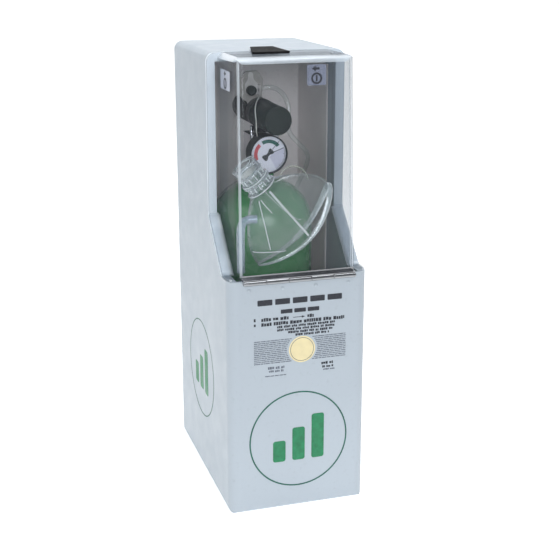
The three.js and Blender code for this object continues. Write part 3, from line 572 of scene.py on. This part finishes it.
MID_DEPTH = 112.35  # the routes' Y is measured from the case's front, which is this far before the origin
TUBE_RADIUS = 2.5 * MM
COIL_RADIUS = 28.0
TURN_STEP = 5.0  # from one turn to the next
COIL_CELLS = [(1, 0), (1, 1), (0, 1), (-1, 1), (-1, 0), (0, 0), (0, -1), (1, -1)]
UPPER_ROUTE = [(-3.4, 123.2, 438.6), (4, 123, 439.4), (12, 119, 438), (19, 113, 431), (22.4, 108, 419),
               (21.6, 105, 405), (22, 104, 393), (31, 104, 381.5), (42, 108, 371), (49, 120, 360),
               (52, 138, 344), (50, 158, 322), (46, 172, 296), (47, 174, 268), (53, 163, 243),
               (58, 140, 224), (59, 112, 208), (59, 84, 192), (58, 58, 175), (56, 38, 152),
               (56, 25.5, 125), (56, 25.5, 98), (56, 25.5, 66)]
LOWER_ROUTE = [(0, 25.5, 66), (-2, 26, 90), (-14, 27, 125), (-31, 27, 165), (-46, 25, 205), (-54, 23, 235),
               (-56, 22, 252), (-56, 22, 263)]


def routed(points):
    return [Vector((x, y - MID_DEPTH, z)) * MM for x, y, z in points]


def coil_turns():
    """Seven and a half turns, each in its own place in the bundle, side by side and on each other."""
    centre = middle("supply_tube_coil")
    steps = 48
    total = int((len(COIL_CELLS) - 0.5) * steps)
    points = []
    for k in range(total + 1):
        turn, part = divmod(k / steps, 1)
        here = COIL_CELLS[min(int(turn), len(COIL_CELLS) - 1)]
        after = COIL_CELLS[min(int(turn) + 1, len(COIL_CELLS) - 1)]
        shift = max(0.0, (part - 0.75) / 0.25)
        shift = shift * shift * (3 - 2 * shift)
        out, back = [a + (b - a) * shift for a, b in zip(here, after)]
        radius = COIL_RADIUS + out * TURN_STEP
        angle = -2 * math.pi * k / steps
        spot = Vector((radius * math.cos(angle), back * TURN_STEP, radius * math.sin(angle)))
        points.append(centre + spot * MM)
    return points


def make_supply_tube():
    upper = routed(UPPER_ROUTE)
    lower = routed(LOWER_ROUTE)
    coil = coil_turns()
    easing = 10 * MM
    into = [coil[0] + Z * easing, *coil]
    away = coil[-1] + Z * easing
    points = spline([*upper, *into, away, *lower], 2.6 * MM)
    tube = cord_curve("supply_tube", points, TUBE_RADIUS, "tubing", "case", "clear_tube", 4)
    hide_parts("supply_tube_upper", "supply_tube_coil", "supply_tube_lower")
    tie = refine("coil_tie", "black", 0.6, 3)


# ---------------------------------------------------------------- case, cover and hinge

SCREW_PROFILE = [(0, -15.7), (1.2, -13.8), (1.2, -1.5), (3.2, -1.5), (3.1, -0.9), (2.4, -0.2), (1.2, 0),
                 (1.0, -0.9), (0, -1)]
RIVET_PROFILE = [(0, -1), (0.8, -0.95), (1.5, -0.7), (2.0, -0.3), (1.3, -0.3), (1.3, 5.4), (2.4, 5.4),
                 (2.1, 6.2), (1.2, 6.5), (0, 6.5)]


def on_ledge(face):
    """Picks the ledge round the opening, which is painted paler than the case: painted light where the ledge
    lies in shade.
    """
    return face.normal.y < -0.3 and face.center.y > FRONT + 3 * MM and face.center.z > SILL_Z * MM


def make_case():
    # The ledge faces take the paler look, painted light.
    mark_faces(refine("case_shell", "case", 1.1, 3, 28), "ledge", on_ledge)
    refine("inner_liner", "liner", 0.5)
    refine("back_panel", "case", 0.4)
    for k in range(1, 5):
        screw = f"back_screw_{k}"
        head = middle(screw)
        head.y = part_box(screw)[1].y
        piece = lathe(screw + "_turned", SCREW_PROFILE, head, Y, "steel", screw, 32, 0.1)
        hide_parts(screw)


def at_corner(face):
    """Picks the faces that lie in no main direction: the cover's moulded corners, which take a milkier
    finish as a painted highlight.
    """
    across, deep, tall = [abs(share) for share in face.normal]
    upright = tall < 0.3
    limit = 0.83 if upright else 0.975
    return max(across, deep, tall) < limit and not (upright and across > deep)


def make_cover():
    mark_faces(refine("clear_cover", "cover", 0.5, 2, 30), "corner", at_corner)
    refine("closure_tab_root", "hook", 0.3)
    refine("closure_tab_flap", "hook", 0.3)
    refine("closure_hook_pad", "hook", 0.15)


def ease_knuckles(piece):
    """Rounds the ends of the hinge's knuckles, so that the joints between them show."""
    axis = middle("hinge_pin")
    work = bmesh.new()
    work.from_mesh(piece.data)
    ends = []
    for edge in work.edges:
        first, second = [vertex.co - axis for vertex in edge.verts]
        on_barrel = all(2.3 * MM < math.hypot(spot.y, spot.z) < 2.7 * MM for spot in (first, second))
        if on_barrel and abs(first.x - second.x) < 0.01 * MM:
            ends.append(edge)
    bmesh.ops.bevel(work, geom=ends, offset=0.5 * MM, segments=2, affect="EDGES", profile=0.6)
    work.to_mesh(piece.data)
    work.free()


def make_hinge():
    for leaf in ("hinge_leaf_lower", "hinge_leaf_upper"):
        ease_knuckles(refine(leaf, "steel", 0.12))
    refine("hinge_pin", "steel", 0.2)
    for k in range(1, 5):
        rivet = f"hinge_rivet_{k}"
        low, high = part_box(rivet)
        centre = Vector(((low.x + high.x) / 2, FRONT, (low.z + high.z) / 2))
        piece = lathe(rivet + "_turned", RIVET_PROFILE, centre, Y, "case", rivet, 24, 0.08)
        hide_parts(rivet)


# ---------------------------------------------------------------- cylinder, valve and gauge


def arc(radius, foot, rise, start, end, steps):
    """(radius, height) pairs on a dome, between two angles in degrees."""
    angles = [math.radians(start + (end - start) * k / steps) for k in range(steps + 1)]
    return [(radius * math.cos(a), foot + rise * math.sin(a)) for a in angles]


def make_cylinder():
    low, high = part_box("cylinder_shell")
    centre = Vector(((low.x + high.x) / 2, (low.y + high.y) / 2, low.z))
    radius, height = (high.x - low.x) / 2 / MM, (high.z - low.z) / MM
    neck, bore, shoulder, rise, wall = 14.0, 8.6, 288.0, 50.0, 4.0
    stop = math.degrees(math.acos(neck / radius))
    inner = radius - wall
    profile = [(0, 1), (40, 1), (46, 0), (50, 0.8), (53, 3), (54.8, 6), (radius, 10)]
    profile += arc(radius, shoulder, rise, 0, stop, 28)
    profile += [(neck, height), (bore, height), (bore, shoulder + rise - 4.6)]
    profile += arc(inner, shoulder, rise - wall, 80, 0, 12)
    profile += [(inner, 10), (44, 6), (0, 6)]
    tank = lathe("cylinder_body", profile, centre, Z, "cylinder", "cylinder_shell", 128, 0.3)
    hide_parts("cylinder_shell")
    refine("cylinder_boot", "boot", 0.8, 3)
    refine("retaining_strap", "webbing", 0.4)
    refine("strap_buckle", "black", 0.7, 3)


def make_valve():
    refine("valve_body", "chrome", 0.8, 3)
    refine("relief_plug", "brass", 0.4)
    refine("gauge_stem", "brass", 0.4)
    refine("feed_pipe", "chrome", 0.3)


DIAL_DEPTH = 3.88  # from the front of the gauge's rim to the dial's face
TICK_REACH = 18.3


def dial_bands(centre):
    """A red zone at the low end of the scale and a green one past it."""
    zones = (("dial_low_band", 205, 132, "red_ink"), ("dial_full_band", 118, 38, "line_ink"))
    for name, start, end, look in zones:
        sweep = [start + (end - start) * k / 24 for k in range(25)]
        band = [polar(15.6, a) for a in sweep] + [polar(11.8, a) for a in reversed(sweep)]
        flat_piece(name, [band], on_dial(centre), look, "gauge_dial", thick=0.1)
    rim = outline_band(circle(0, 0, 19.1), 0.4)
    flat_piece("dial_rim_line", rim, on_dial(centre), "grey_ink", "gauge_dial", thick=0.1)


def make_gauge():
    low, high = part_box("gauge_case")
    centre = Vector(((low.x + high.x) / 2, low.y, (low.z + high.z) / 2))
    rim = (high.x - low.x) / 2 / MM
    depth = (high.y - low.y) / MM
    bowl_profile = [(0, depth - 2), (15.5, depth - 2), (15.5, 4.8), (19.8, 4.8), (19.8, 1.6), (19.4, 1.2),
                    (19.4, 0), (19.9, 0), (rim, 0.7), (rim, depth - 3), (rim - 0.8, depth - 1),
                    (rim - 3, depth), (0, depth)]
    bowl = lathe("gauge_bowl", bowl_profile, centre, Y, "black", "gauge_case", 96, 0.12)
    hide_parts("gauge_case")
    refine("gauge_dial", "dial", 0)
    glass_profile = [(0, 2.0), (17, 2.0), (19.4, 2.15), (19.4, 2.55), (0, 2.55)]
    glass = lathe("gauge_window", glass_profile, centre, Y, "lens", "gauge_lens", 64, 0)
    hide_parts("gauge_lens")
    face = centre + Y * DIAL_DEPTH * MM
    dial_bands(face)
    dial_sector(face)
    dial_ticks(face)
    make_needle()


def on_dial(centre):
    return lambda u, v, out: centre + Vector((u, -out, v)) * MM


def dial_sector(centre):
    """A lilac zone at the lower right of the dial, edged by a thin dark line."""
    inner, outer, low, high = 3.2, 18.2, -62, 18
    sweep = [low + (high - low) * k / 24 for k in range(25)]
    zone = [polar(outer, a) for a in sweep] + [polar(inner, a) for a in reversed(sweep)]
    flat_piece("dial_zone", [zone], on_dial(centre), "lilac_ink", "gauge_dial", thick=0.06)
    edge = [polar(outer, a) for a in sweep] + [polar(outer - 0.35, a) for a in reversed(sweep)]
    bars = []
    for a in (20, 48):
        bars.append([polar(outer, a - 1), polar(outer, a + 1), polar(6.5, a + 3), polar(6.5, a - 3)])
    flat_piece("dial_zone_edges", [edge, *bars], on_dial(centre), "black_ink", "gauge_dial", thick=0.1)


def dial_ticks(centre):
    """Scale marks, every fourth one long; the top of the dial has none."""
    ticks = []
    for k in range(25):
        angle = 225 - 270 * k / 24
        length, half = (2.2, 0.9) if k % 4 == 0 else (1.2, 0.5)
        if 20 < angle < 150:
            continue
        foot = TICK_REACH - length
        ticks.append([polar(TICK_REACH, angle - half), polar(TICK_REACH, angle + half),
                      polar(foot, angle + half), polar(foot, angle - half)])
    flat_piece("dial_ticks", ticks, on_dial(centre), "grey_ink", "gauge_dial", thick=0.1)


def make_needle():
    pivot = middle("gauge_needle")
    turn = math.radians(45)

    def where(u, v, out):
        x = u * math.cos(turn) - v * math.sin(turn)
        z = u * math.sin(turn) + v * math.cos(turn)
        return pivot + Vector((x, 0.2 - out, z)) * MM

    bow = [(-7.0, -2.5), (-6.4, -3.3), (-4.4, -3.3), (-1.6, -1.5), (1.4, -1.5), (4.0, -3.1), (5.8, -3.1),
           (6.3, -2.4), (6.3, 2.4), (5.8, 3.1), (4.0, 3.1), (1.4, 1.5), (-1.6, 1.5), (-4.4, 3.3),
           (-6.4, 3.3), (-7.0, 2.5)]
    blade = flat_piece("gauge_pointer_blade", [bow], where, "black", "gauge_needle", thick=0.35)
    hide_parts("gauge_needle")
    boss = [(0, -0.35), (0.9, -0.33), (1.3, -0.15), (1.3, 0.2), (0, 0.2)]
    lathe("gauge_pointer_boss", boss, pivot, Y, "black", "gauge_needle", 32, 0.05)


# ---------------------------------------------------------------- grip and lever


def make_grip():
    refine("handle_bar", "steel", 0.4)
    refine("handle_post", "black", 0.6, 3)
    bore = 5.3
    for node, outward in (("grip_front", -1), ("grip_rear", 1)):
        low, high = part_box(node)
        radius = (high.x - low.x) / 2 / MM
        length = (high.y - low.y) / MM
        inner_end = Vector(((low.x + high.x) / 2, high.y if outward < 0 else low.y, (low.z + high.z) / 2))
        profile = [(bore, 0), (radius - 0.5, 0), (radius, 1.0), (radius, length - 2.2),
                   (radius - 0.4, length - 0.9), (radius - 1.6, length - 0.1), (radius - 4, length),
                   (0, length - 0.15), (0, length - 3.6), (bore, length - 3.6), (bore, 0)]
        piece = lathe(node + "_sleeve", profile, inner_end, Y * outward, "rubber", node, 96, 0.25)
        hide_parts(node)


def make_lever():
    refine("lever_bracket", "putty", 0.35, 3)
    lever = refine("valve_lever", "lever", 0.25, 3)
    # The lever's sideways faces take the brighter chrome finish, a painted highlight for the bright strip
    # along its side.
    mark_faces(lever, "chrome", lambda face: abs(face.normal.x) > 0.8)
    low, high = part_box("lever_knob")
    front = Vector(((low.x + high.x) / 2, low.y, (low.z + high.z) / 2))
    depth = (high.y - low.y) / MM
    profile = [(0, 0.4), (2.4, 0.25), (2.8, 0), (4.0, 0.2), (4.9, 0.9), (5.3, 2), (5.3, 6.5), (2, 6.5),
               (2, depth), (0, depth)]
    knob = lathe("lever_button", profile, front, Y, "rubber", "lever_knob", 64, 0.15)
    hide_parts("lever_knob")
    refine("valve_cartridge", "brass", 0.3)
    refine("outlet_barb", "brass", 0.15)
    wire = spline(routed([(-13.5, 99.5, 431.8), (-17, 91, 431.2), (-22.5, 79, 428), (-26.2, 69, 422),
                          (-26.4, 65, 412), (-25.6, 67, 402), (-23.5, 71.5, 395.4)]), 1.2 * MM)
    seal = cord_curve("seal_wire", wire, 0.6 * MM, "latex", "case", "latex", 3)
    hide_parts("tamper_seal_wire")


# ---------------------------------------------------------------- mask

VALVE_CENTRE = middle("mask_valve_disc")
PORT_OUT = (VALVE_CENTRE - middle("mask_valve_housing")).normalized()
PORT = VALVE_CENTRE - PORT_OUT * 23 * MM  # the mask's opening, under its valve
MASK_DEPTH = 50.3 * MM
RIM_CENTRE = PORT - PORT_OUT * MASK_DEPTH
RIM_LONG = Vector((0.686, 0.03, 0.727)).normalized()
RIM_OUT = Vector((0.727, 0, -0.686)).normalized()
PORT_LONG = (RIM_LONG - RIM_LONG.dot(PORT_OUT) * PORT_OUT).normalized()
RIM_HALF_LONG, RIM_HALF_WIDE, RIM_BOW, PORT_RADIUS = 56.0, 15.0, 18.0, 16.0


def pinched(value, power):
    return math.copysign(abs(value) ** power, value)


def mask_point(share, angle, inset=0.0):
    """A point of the mask: share 0 at the port and 1 at the rim, creased along its front and back lines."""
    crease = math.sin(math.pi * min(1.0, share * 1.1)) ** 0.7 if share < 0.9 else 0.0
    cos = pinched(math.cos(angle), 1 + 0.45 * crease)
    sin = pinched(math.sin(angle), 1 + 0.25 * crease)
    rim = (RIM_CENTRE + RIM_LONG * (RIM_HALF_LONG - inset) * cos * MM
           + Y * (RIM_HALF_WIDE - inset) * sin * MM + RIM_OUT * RIM_BOW * sin * sin * MM)
    port = PORT + PORT_LONG * (PORT_RADIUS - inset) * cos * MM + Y * (PORT_RADIUS - 2 - inset) * sin * MM
    along = -(rim - port).dot(PORT_OUT)
    sideways = (rim - port) + PORT_OUT * along
    swell = math.sin(share * math.pi / 2) ** 0.85
    return port - PORT_OUT * along * share + sideways * swell


def shell(name, surface, rows, columns, inset, look, like):
    """A thin closed wall between a surface and the same surface set in by inset millimetres."""
    vertices = [surface(i / rows, 2 * math.pi * j / columns, side)
                for side in (0.0, inset) for i in range(rows + 1) for j in range(columns)]
    faces = []
    layer = (rows + 1) * columns
    for j in range(columns):
        k = (j + 1) % columns
        for i in range(rows):
            a, b = i * columns, (i + 1) * columns
            faces.append((a + j, a + k, b + k, b + j))
            faces.append((layer + a + j, layer + b + j, layer + b + k, layer + a + k))
        end = rows * columns
        faces.append((j, layer + j, layer + k, k))
        faces.append((end + j, end + k, layer + end + k, layer + end + j))
    piece = mesh_piece(name, vertices, faces, look, like)
    smooth(piece, 50)
    return piece


def rim_section(angle):
    """The rolled rim's section at an angle round the mask: a lip that curls outwards, then in."""
    edge = mask_point(1, angle, 0.7)
    outward = edge - RIM_CENTRE
    outward = (outward + PORT_OUT * -outward.dot(PORT_OUT)).normalized()
    onward = -PORT_OUT
    curl = [(0, 0), (1.6, 0.9), (3.0, 2.6), (3.4, 4.8), (2.6, 6.8), (0.8, 8.0), (-1.6, 8.0), (-3.4, 6.8),
            (-3.9, 5.2), (-3.3, 5.2), (-2.6, 6.2), (-1.4, 7.1), (0.5, 7.1), (1.9, 6.2), (2.5, 4.7),
            (2.2, 3.0), (1.1, 1.6), (-0.2, 0.9)]
    size = 0.66 + 0.30 * math.cos(angle)
    return [edge + (outward * u + onward * v) * size * MM for u, v in curl]


def make_rim():
    columns = 160
    sections = [rim_section(2 * math.pi * j / columns) for j in range(columns)]
    sides = len(sections[0])
    vertices = [point for section in sections for point in section]
    faces = []
    for j in range(columns):
        a, b = j * sides, ((j + 1) % columns) * sides
        for k in range(sides):
            n = (k + 1) % sides
            faces.append((a + k, b + k, b + n, a + n))
    rim = mesh_piece("mask_rolled_rim", vertices, faces, "rim", "mask_cushion")
    smooth(rim, 60)
    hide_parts("mask_cushion")


def make_ridges():
    """Beads moulded along the mask's folds, where the clear wall is thickest; their milky white is partly
    that thicker wall and partly painted highlight lines.
    """
    # Each fold: its angle at both ends in half turns, its start and end along the wall, the bead's
    # radius in millimetres, and how far it leaves the wall for a straight line.
    folds = ((-0.46, -0.495, 0.04, 0.98, 1.2, 0.7), (-0.68, -0.64, 0.06, 0.33, 0.55, 0.3),
             (-0.72, -0.76, 0.06, 0.82, 0.55, 0), (-0.93, -0.66, 0.74, 0.93, 0.5, 0),
             (0.5, 0.45, 0.08, 0.9, 0.35, 0))
    for k, (first, last, start, end, radius, straight) in enumerate(folds, 1):
        points = []
        ends = mask_point(start, math.pi * first, 0.3), mask_point(end, math.pi * last, 0.3)
        for i in range(25):
            share = i / 24
            along, angle = start + (end - start) * share, math.pi * (first + (last - first) * share)
            chord = ends[0].lerp(ends[1], share)
            points.append(mask_point(along, angle, 0.3).lerp(chord, straight))
        cord_curve(f"mask_fold_{k}", points, radius * MM, "fold", "case", "clear_plastic", 3)


def make_valve_ring_highlights():
    """Painted highlights: milky white beads along the edges of the valve's rings."""
    rings = ((16.2, 2.3, 0.6, "fold"), (13.3, 6.9, 0.6, "rim"), (15.2, 10.6, 0.6, "rim"),
             (15.2, 13.7, 0.5, "fold"), (13.9, 21.9, 0.9, "rim"), (13.4, 32.1, 0.7, "rim"),
             (8.5, 32.5, 0.5, "fold"))
    turns = [math.pi * i / 4 for i in range(9)]
    for k, (radius, height, bead, look) in enumerate(rings, 1):
        ring = [(radius + bead * math.cos(a), height + bead * math.sin(a)) for a in turns]
        lathe(f"mask_valve_ring_highlight_{k}", ring, PORT, PORT_OUT, look, "mask_valve_housing", 64, 0)


def make_fins(name, count, corners, half, look):
    """Upright ribs round the valve's barrel; corners holds one rib's (radius, height) outline."""
    points, faces = [], []
    for k in range(count):
        turn = 2 * math.pi * k / count
        side = PORT_LONG * math.cos(turn) + PORT_OUT.cross(PORT_LONG) * math.sin(turn)
        across = PORT_OUT.cross(side)
        for sign in (-half, half):
            points += [PORT + (side * r + PORT_OUT * h + across * sign) * MM for r, h in corners]
        f = 8 * k
        faces += [(f, f + 1, f + 2, f + 3), (f + 7, f + 6, f + 5, f + 4)]
        faces += [(f + a, f + 4 + a, f + 4 + (a + 1) % 4, f + (a + 1) % 4) for a in range(4)]
    ease(mesh_piece(name, points, faces, look, "mask_valve_housing"), 0.2)


def make_valve_housing():
    barrel = [(10, 0.8), (14.5, 0.8), (16.5, 1.4), (16.5, 3.2), (15, 3.8), (12.6, 4.4), (12.4, 6),
              (13.4, 6.5), (13.4, 7.3), (12.4, 7.8), (12.4, 9.6), (15.2, 10.4), (15.2, 13.8), (12.4, 14.6),
              (12.2, 16.4), (12.9, 16.9), (12.9, 17.8), (12.2, 18.3), (12.2, 21), (10, 21), (10, 0.8)]
    fins = [(12.3, 10.6), (15.8, 10.9), (15.8, 13.4), (12.3, 13.7)]
    low_ribs = [(12.3, 4.4), (14.2, 4.4), (13.6, 9.8), (12.3, 9.8)]
    high_ribs = [(12.1, 14.8), (13.6, 14.8), (13.4, 20.8), (12.1, 20.8)]
    flap = [(0, 22.6), (8.6, 22.7), (9.4, 22.6), (9.4, 23.3), (8.4, 23.4), (0, 23.2)]
    housing = lathe("mask_valve_barrel", barrel, PORT, PORT_OUT, "moulding", "mask_valve_housing", 64, 0.15)
    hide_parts("mask_valve_housing")
    # The fins and ribs take the milky rim and fold finishes, whiter than the barrel's moulding: painted
    # highlights for the valve's sparkle.
    make_fins("mask_valve_fins", 16, fins, 0.6, "rim")
    make_fins("mask_valve_low_ribs", 14, low_ribs, 0.5, "fold")
    make_fins("mask_valve_high_ribs", 12, high_ribs, 0.45, "fold")
    disc = lathe("mask_valve_flap", flap, PORT, PORT_OUT, "latex", "mask_valve_disc", 48, 0.1)
    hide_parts("mask_valve_disc")


def make_mask():
    make_ridges()
    make_valve_ring_highlights()
    dome = shell("mask_shell", mask_point, 44, 128, 1.2, "mask", "mask_dome")
    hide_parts("mask_dome")
    make_rim()
    make_valve_housing()
    refine("mask_valve_cap", "moulding", 0.35, 3)
    refine("mask_elbow", "elbow", 0.2, 2, 50)
    strap = spline(routed([(26, 51, 350), (24.5, 53, 356), (19, 55, 362), (11, 56, 364.5), (3, 55.5, 362.5),
                           (-3, 54, 357), (-6, 53, 350)]), 1.2 * MM)
    band = cord_curve("head_band", strap, 0.9 * MM, "band", "case", "latex", 3)
    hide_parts("head_strap")


# ---------------------------------------------------------------- printed areas


SIDE_MIDDLE = 123 - MID_DEPTH
COVER_LEAN, COVER_TAPER, COVER_HALF, COVER_FRONT = 0.047, 0.00012, 66.0, 4.0
PRINT_GAP, FILM_GAP = 0.02, 0.05  # the print and the stickers stand this far off their surfaces


def on_front(u, v, out):
    return Vector((u * MM, FRONT - (PRINT_GAP + out) * MM, v * MM))


def on_left(u, v, out):
    """u runs towards the front, from the middle of the emblem."""
    return Vector((LEFT - (PRINT_GAP + out) * MM, (SIDE_MIDDLE - u) * MM, v * MM))


def on_cover_front(u, v, out):
    y = COVER_FRONT + COVER_LEAN * (v - SILL_Z) - FILM_GAP - out
    return Vector((u, y - MID_DEPTH, v)) * MM


def on_cover_left(u, v, out):
    x = -COVER_HALF * (1 - COVER_TAPER * (v - SILL_Z)) - FILM_GAP - out
    return Vector((x, u - MID_DEPTH, v)) * MM


def line_of_words(rng, u0, u1, v, height, longest):
    """A row of small plain blocks with a space now and then, in place of a line of words."""
    bars, u = [], u0
    word = u + rng.uniform(0.3, 1.0) * longest
    while u < u1 - height * 0.3:
        end = min(u1, u + height * rng.uniform(0.45, 0.85))
        low = v + height * rng.choice((0.0, 0.0, 0.12))
        high = v + height * rng.choice((1.0, 1.0, 0.85))
        bars.append([(u, low), (end, low), (end, high), (u, high)])
        u = end + height * 0.13
        if u > word:
            u += height * 0.5
            word = u + rng.uniform(0.3, 1.0) * longest
    return bars


def blocks(u0, u1, v0, v1, count, gap, radius):
    """A row of plain blocks, in place of a heading."""
    width = (u1 - u0 - gap * (count - 1)) / count
    lefts = [u0 + k * (width + gap) for k in range(count)]
    return [rounded(left, v0, left + width, v1, radius, 3) for left in lefts]


def emblem(prefix, where, centre_v, radius, line):
    """The station's own emblem: a ring round three upright bars of rising height."""
    ring = outline_band(circle(0, centre_v, radius), line)
    flat_piece(prefix + "_ring", ring, where, "line_ink", "case_shell")
    width, gap, foot = radius * 0.26, radius * 0.14, centre_v - radius * 0.45
    bars = []
    for k, height in enumerate((0.45, 0.70, 0.95)):
        left = (k - 1) * (width + gap) - width / 2
        bars.append(rounded(left, foot, left + width, foot + radius * height, radius * 0.05))
    flat_piece(prefix + "_bars", bars, where, "green_ink", "case_shell")


def print_headings(rng):
    heading = blocks(-45, 47, 232.2, 238.4, 5, 3.0, 0.8) + blocks(-20, 22, 222.0, 226.4, 3, 2.0, 0.6)
    for u0, u1, longest in ((-49, -45, 3), (-41, -9, 15)):
        heading += line_of_words(rng, u0, u1, 215.2, 3.7, longest)
    heading += [[(-6.5, 216.5), (3, 216.5), (3, 215.5), (6.5, 216.8), (3, 218.1), (3, 217.1), (-6.5, 217.1)]]
    lines = ((9, 16, 215.2, 3.7, 9), (-49, -45, 210, 3.7, 3), (-41, 50, 210, 3.7, 18),
             (25, 38, 161.2, 3, 8), (26, 39, 157.4, 2.4, 8))
    for u0, u1, v, height, longest in lines:
        heading += line_of_words(rng, u0, u1, v, height, longest)
    flat_piece("front_heading_print", heading, on_front, "black_ink", "case_shell")
    steps = []
    for v, u0, u1 in ((206.4, -24, 40), (203.0, -24, 40), (199.6, -12, 38), (196.2, -4, 33)):
        steps += line_of_words(rng, u0, u1, v, 2.6, 11)
    flat_piece("front_steps_print", steps, on_front, "black_ink", "case_shell")


def print_fine_lines(rng, centre_u, centre_v, radius):
    """Close lines that leave room for the label in their middle, and four short ones below."""
    fine = []
    for k in range(13):
        v = 193 - 2.05 * k
        half = math.sqrt((radius + 2.2) ** 2 - (v - centre_v) ** 2)
        fine += line_of_words(rng, -49, centre_u - half, v, 1.05, 7)
        fine += line_of_words(rng, centre_u + half, 52, v, 1.05, 7)
    for v, u0, u1, height in ((161.8, -34, -16, 2.8), (158.2, -33, -17, 2.4), (154.6, 27, 40, 1.6),
                              (153.8, -37, -14, 1.2)):
        fine += line_of_words(rng, u0, u1, v, height, 8)
    flat_piece("front_fine_print", fine, on_front, "grey_ink", "case_shell")


def make_front_print():
    rng = random.Random(7)
    centre_u, centre_v, radius = 3.4, 180.8, 14.5
    print_headings(rng)
    print_fine_lines(rng, centre_u, centre_v, radius)
    disc = circle(centre_u, centre_v, radius)
    flat_piece("front_label_disc", [disc], on_front, "label", "case_shell", thick=0.1)
    ring = outline_band(circle(centre_u, centre_v, radius - 1.8), 0.5)
    flat_piece("front_label_ring", ring, on_front, "grey_ink", "case_shell", thick=0.18)


def sticker(prefix, where, u0, u1, v0, v1, flip):
    """A clear film with an arrow over a round symbol."""
    film = rounded(u0, v0, u1, v1, 1.5, 4)
    flat_piece(prefix + "_film", [film], where, "sticker", "clear_cover", thick=0.1)
    cu, cv = (u0 + u1) / 2, (v0 + v1) / 2
    arrow = [(3, 7.4), (-1, 7.4), (-1, 9.2), (-4.8, 6.3), (-1, 3.4), (-1, 5.2), (3, 5.2)]
    marks = [[(cu + flip * a, cv + b) for a, b in arrow]]
    marks += outline_band(circle(cu, cv - 3.4, 4.8, 30), 1.9)
    marks.append(rounded(cu - 0.9, cv - 6.4, cu + 0.9, cv - 0.4, 0.3, 2))

    def on_film(u, v, out):
        return where(u, v, out + 0.12)

    flat_piece(prefix + "_marks", marks, on_film, "black_ink", "clear_cover")


def make_print():
    make_front_print()
    emblem("front_emblem", on_front, 79, 54, 1.6)
    emblem("side_emblem", on_left, 124, 56, 1.3)
    sticker("cover_front_sticker", on_cover_front, 11.5, 31.5, 453.5, 474, 1)
    sticker("cover_side_sticker", on_cover_left, 26, 62, 448.5, 468, -1)


# ---------------------------------------------------------------- all together

make_camera()
make_supply_tube()
make_light()
make_stage()
make_case()
make_cover()
make_hinge()
make_cylinder()
make_valve()
make_gauge()
make_grip()
make_lever()
make_mask()
make_print()
